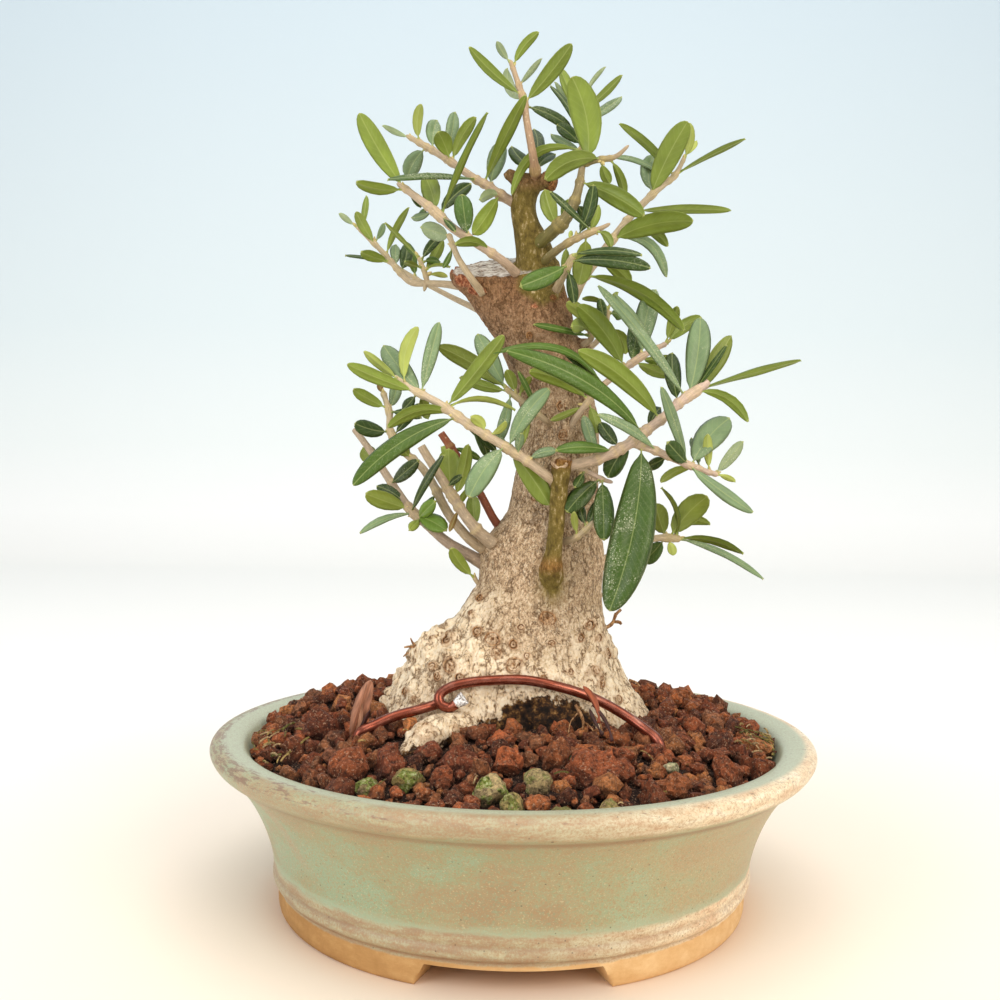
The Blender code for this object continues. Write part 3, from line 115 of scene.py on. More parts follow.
# Cross-sections of the trunk: height, left edge, right edge, half depth, middle of the depth.
TRUNK_SECTIONS = rows_of("""
    24 -27 26 18 1, 33 -37.5 36.5 25 1, 43 -37 36.5 26 1, 48 -34.2 34.2 25 1, 54 -31 30.2 23 1,
    60 -27.5 27 20.5 0.5, 64 -25.3 25.4 18.5 0.5, 67.5 -19.5 24.1 17 0.5, 70.5 -15.6 23.2 15.8 0,
    75 -12.3 22.3 14.6 0, 80.5 -9 22 13.4 0, 88 -9 22.4 12.6 0, 92 -7 22 12 0, 98.5 -2.1 20.9 11 0,
    106 -0.7 20.9 10.4 0, 115 1.3 21.1 10 0, 125 0.7 19.8 9.8 0, 133 -1.5 17.8 9.8 0, 140 -4.5 15.9 9.6 0,
    146 -8.9 14.2 9.4 0, 152 -12.6 12.8 9 0, 156.5 -16.6 11.4 8.6 0, 160.5 -17.4 10.4 8.2 0""")
# The leader that goes on up from the right half of the cut trunk, in the same terms.
LEADER_SECTIONS = rows_of("""
    151 0.6 9.6 4.6 -0.5, 158 -0.6 9.9 5 -0.5, 163 -0.8 9.2 4.9 -0.5, 168 -1.4 7.2 4.2 -0.5,
    172 -2 5 3.5 -0.5, 176 -2.4 4.3 3.3 -0.5, 180 -1.6 5.4 3.4 -0.5, 183.5 0.4 6.4 2.8 -0.5""")
CUT_SLOPE_BACK = 0.5
CUT_SLOPE_SIDE = 0.1

# Woody stubs that belong to the trunk: points as across, up, forward, radius.
STUBS = [rows_of(part) for part in """
    9.2 75 7 2.8, 9.2 80 10.6 2.8, 9.3 84 12.4 2;
    12.6 111 8 1.6, 12.6 119 10.8 1.5, 12.4 127.6 10.6 1.2;
    4 181 1 1.8, 6.9 182.2 4.4 2.2;
    0.6 181 1 1.9, -2.2 183.2 2.4 1.8, -3.6 184.6 2.6 1.4;
    16 85 0 3, 22.6 86 -1 1.9;
    13 139.6 1 2.6, 18.2 141 3 1.7;
    -36 40 8 5, -41 35 12 3.2, -46 29 16 2;
    34 42 6 5, 38.5 36 9 3.4, 44 29 12 2.2;
    -10 42 17 6, -17.5 41.5 25.5 5, -22.5 38.6 31 4.6, -26.4 34 35 3.2;
    20 43 18 4.5, 23.5 38 25 3, 27 31 31 2;
    2 42 -18 6, 4 36 -30 4.4, 5 28 -38 2.6;
    -20.5 63.4 4 3.4, -23.8 65.6 4 1.7;
    -17.5 66 4 3.2, -20.8 68 4.4 1.6;
    -14.5 67.4 3 3, -17.2 69.8 3 1.5;
    -24 60 3 3.4, -26.6 62.4 3.4 1.6""".split(";")]

# The pruned shoot on the trunk's front, and the thin dead twigs and fibres, in the same terms.
FRONT_STUB = rows_of("""
    9 79 9 3.6, 9.3 82.6 12.2 2.9, 9.6 86 13.8 2.1, 10.2 91 14.6 1.8, 10.6 97 15.2 1.85, 11 103 15.8 1.95,
    11.4 108 16.2 2.15, 11.8 111.6 16.6 2.3""")
FIBRES = [rows_of(part) for part in """
    20.4 67.4 1 0.6, 23.2 68.8 1.2 0.55, 25 70 1.2 0.5, 26 72.6 1.4 0.42;
    25.2 70.4 1.2 0.4, 26.8 70.4 1.6 0.5, 27.4 69.8 1.8 0.3;
    25.6 72 1.2 0.36, 27.2 73.6 1.6 0.4;
    -23.6 62.6 4 0.5, -26.4 63.4 5 0.36, -28 63.2 5.4 0.2;
    -24.4 62.8 4 0.4, -25.8 64.4 5 0.3, -26.4 65.6 5.2 0.18;
    -24.8 62 4 0.4, -27 61.8 5 0.26, -28.2 60.8 5.4 0.16;
    29.6 55.6 3 0.34, 31.4 55 4 0.24, 32.4 54 4.4 0.16;
    16 49 22.4 0.36, 17.6 46 24.4 0.4, 18 43.6 26 0.36, 17 40.4 27 0.24;
    17.8 45 24.8 0.24, 20.2 43 26.2 0.2, 21.6 40.4 27 0.15;
    16.6 47 24 0.2, 14.8 44.6 26 0.18, 14.2 41.6 27.2 0.14;
    19.6 47.6 22.8 0.24, 22 44.8 25 0.22, 22.8 42.4 27 0.16""".split(";")]
# Straw at the pot's edge: x, y, bits, spread.
STRAW = [
    (62, -8, 22, 3), (59, -20, 12, 3), (-59.5, -16, 16, 4), (-52, -34, 8, 3), (18, -50, 5, 8),
    (-20, -40, 5, 8),
]

# Each shoot as text: its stems, each closed by a semicolon, with points as across, up, forward,
# radius, and then its leaves. A leaf is the place on the stem where it sits, its tip as across, up,
# forward, its width, its sideways bow, its turn in degrees (0 shows the upper face, 180 the underside)
# and its tone.
SHOOTS = {
"crown_shoot": """
4.2 182 1.5 1.8, 3.6 186 7 1.4, 2.8 190.6 8.6 1.25, 1.5 197.4 7.6 1.1, .6 202.4 6 1.1, -.6 206 5.4 .9,
-1.8 209.4 5 .8, -2.8 212.2 4.6 .5;
1.4 201.6 12.6 216.5 11 4.5 -.6 -165 u, .2 203.4 -13.2 215.4 9 3.1 1 160 u,
1 200.6 13 195 2.6 3.6 .4 -35 o, -.4 206 5 212.6 0 1.7 -.3 200 s, .6 202.4 -3.6 210 -2 3.1 1.6 205 s,
-2.6 211.4 -6.2 216.8 5 2 .3 180 s, -2 210.4 4.3 219.3 7 2.6 .8 -165 u,
4 184.8 -2.2 190.4 -4 3.8 .6 25 o, 3.8 185.2 3.4 194.8 -5 3.8 -.6 10 o,
4 184.4 8.8 188.6 -4 2.8 .4 -20 o""",
"upper_left_shoot": """
-.6 176 .5 1.7, -4.6 178.2 1 1.5, -8 180.5 0 1.35, -11.5 182.4 -1 1.25, -17 186.2 -3 1.15,
-22 189.2 -5 1.05, -25.5 191.2 -6 .95, -28.8 193 -7 .6;
-27.6 192.2 -34.8 195.4 -9 1.8 .3 150 s, -25.4 191.2 -25.1 200.9 -2 2.8 .9 165 y,
-23.6 190 -28.4 182.4 -11 4.6 -.6 10 s, -22 189.4 -21.2 196.8 -9 4.2 .5 15 s,
-17.8 186.4 -20.8 194 3 4.6 -.3 178 u, -18.4 187.2 -16.6 198.9 -9 3.6 .4 20 s,
-17.2 186.2 -11.3 197.8 -3 3.6 .7 -150 m, -11 182 -33.4 181.8 17 3.4 .7 62 d,
-7.6 180.4 -4.2 191.4 -6 4.8 .5 12 s, -9 181.2 1.2 203.5 11.5 4.4 -.5 -140 u,
-5 178.6 -11.6 168.4 13 4.6 .4 168 u, -4.6 178.2 -10 177 7 3.2 -.6 150 s""",
"left_arm_shoot": """
-.6 158.6 7.5 1.6, -3.6 161.4 11 1.4, -7.5 164 13 1.35, -12 166.8 13 1.35, -17 170 13 1.4,
-22 174.4 12 1.35, -27 178.2 11 1.15, -31 181 11 .8;
-29.2 179.8 -40.8 198.4 14 5.3 .6 172 u, -29 179.4 -41.4 181.2 15 4.2 1.2 140 u,
-28.8 179.2 -25 175 6 2.2 .4 10 o, -21.4 174.2 -24.3 183.4 3 5.2 -.5 160 m,
-19.8 172.6 -8.4 199 16 4.6 -.6 -112 u, -20.2 173.4 -12.4 181 5 3.8 .3 -15 o,
-13 167.4 -14.6 178.4 16 5 .3 10 d, -19.6 172.6 -16.2 169 17 1.8 .2 -20 o,
-22 174 -27.2 172.3 8 2.2 .4 20 s, -23 175.2 -25.6 173 5 1.8 .3 20 u,
-6.8 163.6 -16.2 165.8 18 3.4 -1.3 140 u""",
"stub_twig": """
-9 153.4 6.5 1.3, -12 157.2 9.6 1.15, -15.2 162 9.6 1, -17 166.2 9 .9, -17.8 168.4 8 .7;
-17.6 167.6 -24.8 170 0 4.6 .2 165 s, -16.8 165.6 -19.2 159.8 8 1.6 .4 10 m""",
"rear_left_spray": """
-14 155.2 -1 1.5, -18.5 155.7 -5 1.15, -23 155.8 -9 1.05, -27 156 -12 1.05, -29.6 158 -13 1,
-32.2 161 -14 .9, -35.5 164.6 -15 .8, -38.5 167.4 -16 .7, -41.2 170 -17 .5;
-23 155.8 -9 .9, -23.8 158.6 -9 .7, -25.4 162.4 -10 .55;
-23.4 156 -9 .8, -23.9 153.9 -8 .5;
-36.2 165.4 -41.3 173.7 -12 3 .4 160 m, -40 169 -38.7 177.7 -18 2 .2 150 u,
-36.8 165.8 -34.2 170.8 -18 1.8 -.2 20 s, -32.4 161.2 -40 163.6 -9 3.4 .4 150 u,
-33.6 162.6 -28 174.9 -16 2.2 .3 -150 m, -25.6 162.2 -34 171 -6 1.8 .4 140 m,
-31 159.6 -31.2 165.4 -18 2.8 .2 10 s, -29.8 158.4 -28.3 165.8 -19 3.4 -.4 0 o,
-25.6 161.8 -29 166.4 -14 2 .2 25 m, -25 161.2 -19.8 167.9 -11 2.6 .2 -20 o,
-24.4 159.6 -28.9 161.3 -5 2.4 .3 140 u, -24 158.8 -17.4 160 -6 2 .9 -120 m,
-23.8 157.6 -18 157.6 -10 1.8 .3 -140 y, -24.8 160.8 -20 161.2 -13 2.4 .4 -30 m,
-41 169.8 -45.6 173.2 -17 1.8 .2 150 s, -24 159 -19.3 166.8 -15 2.8 -.8 -165 m""",
"rear_left_leaf_tip": """
-9.5 149 -4 1.1, -16 152 -17 .9, -26 157 -27 .7, -34 161.8 -30 .6;
-33 161.2 -44 162.6 -27 2.2 .2 70 o, -26 157 -27.6 165.6 -29 2.8 .2 20 m""",
"top_right_shoot": """
4 165.2 2.5 2.2, 8.8 169.6 8 2.1, 12.4 173.6 11 1.9, 14.6 179 11.6 1.5, 15.6 185 9.4 1.1, 15.8 190 6 .95,
15.6 196 3 .8, 16 204 1 .5;
15.6 186 8.8 .8, 19.6 187.4 11 .9, 24 188.3 11 .8, 27.4 191.2 11 .45;
16.8 186.6 12.8 208.2 15 8 -1.6 170 u, 21 187.7 6.4 182.4 17 5.8 -1.6 150 u,
15 182 31.6 173.6 18 5.4 .6 -160 u, 15.8 189.6 -2 178.4 4.2 2.6 -5.2 165 u,
15.7 192 7.4 205.8 0 2.2 -.2 40 o, 15.7 194 8.6 206.8 -4 2.2 .3 150 s,
15.7 198.4 9.9 210.2 -3 3.2 .4 165 m, 15.8 199.6 25.4 208.8 1 2.4 -.6 -155 u,
16 202.8 21.2 210.8 1 1.4 .2 -150 s, 15.8 196.4 25.4 203.2 -4 2.7 -.3 -25 s,
15.7 190.4 9.2 196.2 5 3.6 -.3 20 o, 15.8 189.4 7.8 193.6 -2 2.4 .3 25 s,
20.4 187.6 22.8 181.5 9 3 -.4 -160 m, 22.4 188 26.6 178.5 7 2.6 .6 -160 m,
9.8 170.6 6.4 179.8 5.5 4.4 .7 165 g, 10.8 171.8 13.4 177.2 6 3.4 .3 -160 m,
14 177 18.8 171 8 3.4 -.3 -10 o""",
"budded_twig": """
5.8 160.8 2.5 1.5, 8.2 163.4 8.5 1.4, 12.2 166.4 14 1.1, 17.6 169 16 1, 20.6 170.2 16 .8, 23 171.5 16 .5;
18.4 169.4 7.6 179.4 20 2.2 .4 30 o, 14.6 167.6 18.6 181.2 15 3.6 -.9 -10 o,
17.6 169 20 176 12 2.6 -.6 -150 m, 19 169.6 23.4 165.6 18 2.8 1 -150 m, 17 168.8 15.2 156 12 5.2 .6 170 g,
12.2 166.2 12.4 157.4 9 2.6 -.4 170 o, 13 166.8 13.2 169.6 15 1.2 .1 180 y""",
"shoulder_shoot": """
9.6 154.6 7 1.4, 11.4 158.4 12 1.2, 12.8 161.4 15 1, 13.6 163.6 17 .7;
13 161.8 33.4 160.4 22 4.2 1 -12 o, 13.4 163.4 31.2 163.6 21 3.2 .8 -48 o,
12.6 160.8 .4 155.4 21 5.2 .6 14 m, 12.2 160.2 14.2 151.2 15 3 .4 8 o""",
"right_arm_shoot": """
11.5 147.5 1 1.9, 14.4 153.4 .5 1.6, 16.4 157.6 0 1.5, 19.6 162 -2 1.45, 24 168 -5 1.3, 28.4 173.6 -8 1.2,
33 178.4 -9 1.1, 36.6 181.6 -10 1, 39.2 183.8 -10 .9, 41.6 188.4 -10 .55;
33.2 178.6 42.2 197.4 -3 6.4 .4 -168 u, 41.2 187.6 42.6 197 -8 2.8 -1.2 -150 y,
41.6 188 44.6 192.4 -12 2.2 .3 160 y, 39.2 184 56.8 193.2 -6 2.8 -.5 -122 u,
39 183.6 25 196.6 -14 2.8 -.8 150 m, 37.6 182.4 23 188.3 -18 2.4 -.6 50 s,
33.6 179 33.8 188.8 -15 4.2 1.4 10 s, 23.4 167.2 44 172.4 3 6.8 1.2 -150 u,
29.4 174.6 53.5 175.2 -13 2.7 -.5 -150 u, 27.2 172.2 37.7 165.9 -5 3.4 1.3 -150 m,
23.8 167.8 37.4 158.2 -11 3.2 3.4 -30 s, 20.2 162.8 28.4 156.6 -8 4 .5 -165 m,
16.8 158.4 42.2 144.8 10 5.2 2.3 -135 u""",
"right_edge_sprig": """
16.4 140.6 3.6 1.1, 18.6 142.4 5.2 .9, 18 145.2 6.4 .7;
18.2 144.8 12.2 151.4 9 3.6 -.8 165 y, 18.4 144.4 13.6 145.4 13 4.2 -.4 175 m,
18.4 142.8 4 145.8 15 2.4 .4 40 m, 18.2 145 16.6 150.4 4.5 3 .4 180 m""",
"rear_right_sprig": """
14.5 137.4 -5 1.2, 20 141.6 -9 .9, 22.4 146.4 -10 .8, 22.8 150 -10 .5;
21.6 144.6 27.4 138.6 -8 3.8 1.6 -160 m, 22.2 146 20.6 152.6 -7 2.6 .2 20 d,
22.8 149.8 16.2 152.4 -10 2.2 -.8 130 m, 22.6 149 18.2 149.4 -13 2.6 .4 20 m,
22.6 148.4 26.4 147.6 -11 3 .6 -30 m, 22.6 150 25.2 154.2 -12 1.8 .2 -150 m""",
"trunk_face_shoot": """
12.5 118 9.5 1.2, 14.8 122 12.4 1.05, 17.4 125.6 12.5 1, 21.2 130 11 1, 25.2 133.4 9 1.1, 29.4 136.6 7 1.1,
33.8 139.4 5.6 1, 37.8 141.4 5 .7;
31.6 138.2 34.8 154.9 1 5.6 .9 8 s, 28.8 136.2 30.2 147.2 -3 4.6 -.3 10 d,
37.4 141.2 40.3 150.9 8 2.9 -.3 -165 g, 37.8 141.4 46.4 148.2 1 3.6 .8 -160 u,
30.8 137.6 39.6 137.6 2 3 -.6 -150 m, 29.6 136.8 38.8 133.2 1 3.6 -.4 -150 u,
35.2 140 24.2 153.8 9 2.2 -.2 40 s, 27.2 135 15 150.8 14 5.8 -1 168 u,
21.6 130.6 -6.6 138.2 20 3.8 -4.2 58 m, 21.2 130.2 11.6 138.8 15 2.6 -.6 30 o,
18.4 126.8 3 134 17 4.8 -.6 150 u, 17.2 125.6 8.6 121.6 15 2 .3 160 g,
17.8 126.2 20.4 118.4 13.5 3.2 .5 170 m""",
"right_branch": """
12.4 109.6 15.2 1.8, 15.2 110.4 16.8 1.8, 20 111.6 17.5 1.7, 25.4 114 18 1.7, 29.8 116.6 18 1.7,
33.4 119.6 17 1.6, 37.2 122.6 16 1.55, 41 126.2 15 1.55, 44.8 129 14 1.5, 48.4 131.6 13 1.5;
29.2 116 18 1.2, 33.6 114.8 18.4 1.3, 38.8 112.8 18.4 1.2, 44 110.6 17 1.1, 48 109.2 15 .9,
51.4 108.2 14 .7;
15 110 16.5 .9, 18.6 108.4 14 .8, 22.4 106.6 13 .7, 24.6 106 12.6 .6;
42.8 127.6 20.2 155.8 16 4 .3 42 s, 43.4 128.2 46.2 148 10 6.2 -.4 8 s,
44.2 128.8 54 143.5 5 5 -.9 -158 g, 44.8 129 53 141.2 11.5 2.4 -.2 -40 o, 41 126.2 39.2 139 8 4.4 .4 8 o,
45.8 129.6 71.9 137.6 15 3.8 -1.6 -118 u, 45.4 129.2 58.8 121.8 18 3.6 2 -145 u,
36.4 122.2 15.4 139.4 25 5.8 -1.6 160 u, 32 118.6 -2.8 139 28 5.6 -2.4 22 m,
43.6 111 36.6 130.4 22 3.6 .4 35 s, 44.6 110.8 54 122.6 10 7.2 .8 -15 s,
43.8 110.8 38.4 116.4 22.5 4.6 .3 20 o, 35.6 114.2 20.6 123.2 25 3.2 -.6 30 s,
33 119.4 36.4 125 10 3.2 .4 10 o, 43.8 110.6 60.4 98.8 18 4 -1 -35 s, 46 110 36.8 106.2 13 3 -1 140 g,
50.6 108.4 55.8 106.6 13 1.8 .2 -150 y, 49.2 108.8 48.6 118.6 17 2.5 .2 175 y,
50.4 108.4 57.5 116.8 10 3.6 -.5 -150 s, 46.6 109.8 44.4 117.4 8 2.4 -.2 20 s,
38.8 112.8 33.4 110.2 12 3.2 .3 20 o, 31.6 115 24.3 73.2 31 11.2 1.9 4 b,
29.6 116.2 23.4 107.2 14.5 5.2 -.5 6 o, 24.8 113.8 10 113.9 24 3.8 -.9 30 m,
26.6 114.8 21.2 121.2 13.5 3.6 .3 10 o, 20.8 111.8 17 122.8 13.5 3.2 .2 10 s,
21.6 106.8 13 98.2 17 5.4 -.4 12 o, 21.8 106.8 22.6 91.2 20 5.6 .3 6 b,
17.4 109.2 15 104.6 18.5 2.6 .2 10 o""",
"left_branch": """
10.2 105.8 15 1.7, 7.4 107.8 17 1.6, 3.6 110.6 18 1.55, -.4 113.2 18.4 1.45, -5.6 116.4 19 1.45,
-11.4 119.8 19 1.5, -16.4 123.2 18.6 1.4, -20.4 125.8 18 1.3, -24.8 128 17 1.1, -28.6 130.2 16 .9,
-31.2 132.4 15.4 .6;
-14.8 122 -41.4 104.4 27 5.6 -2 22 m, -15.4 122.6 -32.8 119.2 20 4.2 -2 140 u,
-18 124.4 -3.6 143 22 4.6 -.5 -165 u, -28.4 130 -25.3 144.8 18 3.6 1.9 165 y,
-24.4 127.8 -20 146 13 3.8 .4 15 s, -29.8 131.2 -39 138.5 17 2.8 .3 150 y,
-23.8 127.6 -34 139.9 10 5.4 .5 12 s, -25.6 128.4 -43.2 135.2 19 4.2 .8 152 u,
-17.8 124.2 -.4 124 17 2.6 1.6 -125 y, -8 117.8 -11.7 122.2 22 3 -.8 165 y,
-7.6 117.6 -2.8 121.2 22 2.2 -.9 -150 y, -3 114.8 -11.9 101.6 25 6.2 -.6 14 s,
-15.6 122.6 -5.2 113.6 14.5 3.4 .4 -25 o, -12 120.2 -7.4 112.2 14 3 .5 -15 o,
-2.2 114.2 8.2 129.6 24 4.8 .9 -15 s, 0 113 2.4 123.2 15.5 3.2 -.3 -165 g,
-.6 113.2 -6.6 117.8 15 3 .2 10 s, .4 112.8 1.2 118.2 22 2.4 .2 10 s,
2.8 111.2 10.2 113.8 21 3 .6 -30 s, -2 114 8.6 100 14.2 5.6 .6 170 u, -25.2 128.2 -29 123.8 13 3 .3 15 o,
-24.6 127.8 -22.6 121.6 12 3.2 .3 160 m""",
"crossing_twig": """
8.6 120.4 8.2 1.1, 7 121.8 11.4 1, 4 124.2 12.4 .95, .4 127 12.4 .9, -3 129.6 11.6 .7;
-2.6 129.2 -20.2 140 13 5.2 -.3 155 g, -2.2 128.8 -14.6 132.2 8 3.4 .6 150 u,
-2.8 129.4 -10.2 143.2 8.5 4.8 .4 12 s, -.2 127.6 -2.8 134.2 14.5 3 -.3 170 g,
-1.8 128.4 -4.6 115.6 13.8 3.2 .4 8 s, 5.4 123.2 .2 133.9 15.8 1.8 .2 30 m,
.4 127 3.6 132.6 13.8 2.2 .3 -150 g""",
"low_right_sprig": """
11.6 90.4 10.5 1.3, 15.4 91.8 14 1.1, 18 94 15.5 .9, 20 96.2 16 .6;
15.8 92.2 14.9 98.4 18 2 .2 170 y, 17.6 93.6 20.8 101.2 14.2 2.8 -.3 -10 o,
18.4 94.4 16.4 100.4 13.4 2.6 .4 10 o""",
"low_right_shoot": """
19.5 85.4 -2 1.5, 24.4 87 -3 1.35, 30 90 -4 1.2, 35.4 91.8 -5 1.1, 39.6 92 -6 1.15, 42.2 91.8 -7 .8;
39.2 92.2 48.8 102.8 -2 6.8 .3 -160 g, 38.6 92.2 35.6 100.8 -10 5.2 .4 165 g,
40.4 92.2 49.6 95.6 -9 3.2 3 -150 g, 41 92 37 104.8 -1 3 -1.2 115 m, 41.6 92 58.2 88.2 -3 3.4 .8 -130 u,
41.4 91.8 63.4 81.8 0 3 .4 -52 s, 38.2 92 32.6 85.8 -10 4.4 .3 10 d,
38.8 92 40.3 87.6 -4 2.4 .3 170 y""",
"outer_left_shoot": """
-7.4 84.6 1 2.3, -12.4 87.4 2 1.9, -17 90 2 1.7, -22 94.2 0 1.5, -26.6 98.2 -2 1.4, -30.4 103.4 -5 1.3,
-34 108.6 -7 1.25, -37.6 114 -9 1.1, -41.2 118.6 -11 1;
-27 98.6 -38.2 102.4 3 5 .3 160 g, -27.4 99.2 -35.4 104.2 -6 3.4 -.6 20 o,
-25.8 97.4 -39.6 92.2 1 2.6 -.5 40 s, -25 96.8 -17.6 93.2 7 5 .4 -15 l,
-24.4 96.4 -20.4 100.6 8.5 3.8 .2 -10 l, -24.2 96.2 -27 93.2 5 2.6 .2 15 y,
-26.4 98 -18.4 112.4 21 2.8 .3 -35 o, -31.6 105.2 -24.8 111 5 3.8 -.3 -12 o,
-34.6 109.6 -39 114 -10 4.6 .4 165 g""",
"middle_left_shoot": """
-8 88.6 4 1.9, -12.4 91.8 5.6 1.6, -17 97.4 4 1.5, -20.6 104 1 1.4, -24 109.2 -2 1.3, -28.8 113.4 -5 1.25,
-32 118 -7 1.15, -32.4 123 -8 1, -34.2 128.6 -9 .8;
-32.2 118.2 -41.2 120.2 -4 4.4 .7 18 o, -32.6 124 -41.6 128.9 -5 3.8 .5 150 u,
-32.5 123.6 -30.4 131 -13 3.2 -.2 10 s, -32.4 122.8 -24.2 121.8 -4 2.8 .3 -30 o,
-31.4 117 -24.8 125.4 -10 2.8 -.3 -20 o, -26.2 111.4 -30.4 115.2 0 3.8 .2 165 g,
-33.8 127.6 -35.2 130.4 -8 1.6 .1 180 r, -20 103 -23.9 98.4 -2 2.2 .5 25 o""",
"inner_left_shoot": """
-5.6 90 7 2.2, -9.4 93 9 1.9, -12.8 97 10 1.7, -16.2 102.2 10 1.6, -19.4 107 10 1.5, -22 111 10 1.45,
-24.2 114.6 10 1.35;
-16.2 102.4 -17.2 114 5 6.2 .4 170 g, -15.6 101.6 -12.3 115.2 6 3.6 -.6 -165 g,
-17.4 104 -13.6 107.2 13 2 .3 -20 o, -10 93.6 -10.9 102.4 5.6 3.8 .3 175 o,
-14.2 99.2 -16.8 93 9 1.6 .2 160 r""",
"rust_shoot": """
-2.6 92.6 0 1.6, -5.6 96.4 1 1.35, -9 102.6 2 1.3, -12.6 108.6 2 1.3, -16 113.4 2 1.3, -19.2 118 2 1.2;
-11.2 106 -14.9 99.8 6 1.8 .2 170 m, -16.8 114.6 -9 111.4 -2 2 .2 -15 m,
-14 110.6 -19 114.4 -4 3.2 .2 160 m""",
"base_leaf": """
-7.6 78.2 1 .9, -9.6 80.2 2 .7, -10.6 82 2 .5;
-10 81.2 -16.2 88.8 8 3.6 .7 160 m""",
}

# Fallen leaves that stand in the soil, blade by blade: foot and tip as across, up, forward, then
# width, bow, turn and tone.
DRY_LEAVES = {
    "dry_leaf_left": [(-41.6, 37.6, 21, -36.4, 54.6, 22, 4.4, 0.8, 35, "w"),
                      (-41.4, 38, 21.6, -39.2, 49.6, 23.4, 2.2, -0.5, 150, "w"),
                      (-41, 38.4, 21.6, -36.6, 47, 23.6, 1.4, 0.4, 60, "p")],
    "dry_leaf_right": [(22, 44.4, 32, 17.9, 53.8, 27, 1.7, -0.8, 20, "q"),
                       (25.4, 39.8, 34, 20.2, 49, 29.6, 1.3, -0.7, 60, "p"),
                       (23, 41.4, 33.6, 19.6, 48, 29.4, 1, 0.3, 20, "p")],
}

# The two faces of a leaf of each tone, upper and underside, and how thick its white scales lie.
LEAF_TONES = {
    "o": ("#314516", "#7d8d40", 0.3),
    "m": ("#4a6420", "#84933d", 0.14),
    "u": ("#4a6824", "#7c8c38", 0.03),
    "y": ("#9aa84c", "#aab45a", 0.03),
    "s": ("#71865e", "#8f9e74", 0.8),
    "g": ("#667630", "#7f8b3a", 0.1),
    "d": ("#48622a", "#889862", 0.95),
    "b": ("#3e561e", "#889862", 0.95),
    "l": ("#6f8c32", "#809236", 0.05),
    "r": ("#8a6a3c", "#8f7242", 0),
    "w": ("#b87e60", "#c99878", 0),
    "p": ("#43211a", "#6e3524", 0),
    "q": ("#9a4c2a", "#b46c40", 0),
}

# The bark of each shoot's stems at its foot and at its tip.
STEM_TONES = {
    "crown_shoot": ("#a07c5c", "#b69c7c"),
    "left_arm_shoot": ("#b2987f", "#b8a488"),
    "upper_left_shoot": ("#a98f76", "#b5a180"),
    "top_right_shoot": ("#666020", "#ad9679"),
    "budded_twig": ("#6a6224", "#ad9677"),
    "right_branch": ("#af987c", "#c8ae9c"),
    "left_branch": ("#b9a284", "#c8b496"),
    "trunk_face_shoot": ("#af997c", "#c2a894"),
    "rust_shoot": ("#84442a", "#8d4d2e"),
    "outer_left_shoot": ("#a48d76", "#ae9980"),
    "inner_left_shoot": ("#a69278", "#b29d80"),
}
PLAIN_STEM = ("#ae9878", "#b8a684")


def linear(colour):
    """A colour as linear red, green, blue, alpha, from sRGB hex or from a setting, which is linear."""
    if not isinstance(colour, str):
        return (*colour[:3], 1)
    values = [int(colour[i:i + 2], 16) / 255 for i in (1, 3, 5)]
    return tuple(v / 12.92 if v <= 0.04045 else ((v + 0.055) / 1.055) ** 2.4 for v in values) + (1,)


def paint(colour):
    """A colour as an array that can be mixed and shaded."""
    return np.array(linear(colour))


def seen(points):
    """Rows of across, up, forward as x, y, z: each point shows at (across, up) in the plane of the
    trunk and stands nearer to the viewpoint by forward."""
    points = np.atleast_2d(np.asarray(points, float))
    flat = np.stack([points[:, 0], np.zeros(len(points)), points[:, 1] + LEVEL], axis=1)
    return flat + (VIEWPOINT - flat) * (points[:, 2:3] / -VIEWPOINT[1])


def shown(points):
    """Where points in space show, as across, up: the opposite of seen."""
    depth = points[:, 1:2] / VIEWPOINT[1]
    flat = (points - VIEWPOINT * depth) / (1 - depth)
    return np.stack([flat[:, 0], flat[:, 2] - LEVEL], axis=1)


def shrink(forward):
    """How much smaller a thing is than it shows, when it stands nearer by forward."""
    return 1 - forward / -VIEWPOINT[1]


def unit(vectors):
    """Vectors at length one."""
    return vectors / np.maximum(np.linalg.norm(vectors, axis=-1, keepdims=True), 1e-9)


def fade(values, start, end):
    """A smooth step from 0 at start to 1 at end: 3t squared less 2t cubed."""
    t = np.clip((values - start) / (end - start), 0, 1)
    return t * t * (3 - 2 * t)


def cell_value(cells, seed):
    """A random value from 0 to 1 for each whole-number cell, from a product and shift of its numbers."""
    mixed = (cells[..., 0] * 73856093) ^ (cells[..., 1] * 19349663) ^ (cells[..., 2] * 83492791)
    mixed = (mixed ^ (seed * 2971215073)) & 0xFFFFFFFF
    mixed = ((mixed ^ (mixed >> 15)) * 2246822519) & 0xFFFFFFFF
    mixed = ((mixed ^ (mixed >> 13)) * 3266489917) & 0xFFFFFFFF
    return (mixed ^ (mixed >> 16)) / 0xFFFFFFFF


def noise(points, size, seed=0):
    """Smooth noise from -1 to 1: the random values of a cell's eight corners, blended by smoothstep."""
    scaled = points / np.asarray(size, float) + 100
    low = np.floor(scaled).astype(np.int64)
    part = scaled - low
    part = part * part * (3 - 2 * part)
    total = np.zeros(len(points))
    for corner in np.ndindex(2, 2, 2):
        offset = np.array(corner)
        share = np.prod(np.where(offset == 1, part, 1 - part), axis=1)
        total += share * cell_value(low + offset, seed)
    return total * 2 - 1


def layered_noise(points, size, layers, seed=0):
    """Noise with finer and weaker layers added, each at half the size and half the strength."""
    total = np.zeros(len(points))
    for layer in range(layers):
        total += noise(points, np.asarray(size, float) / 2 ** layer, seed + layer) / 2 ** layer
    return total


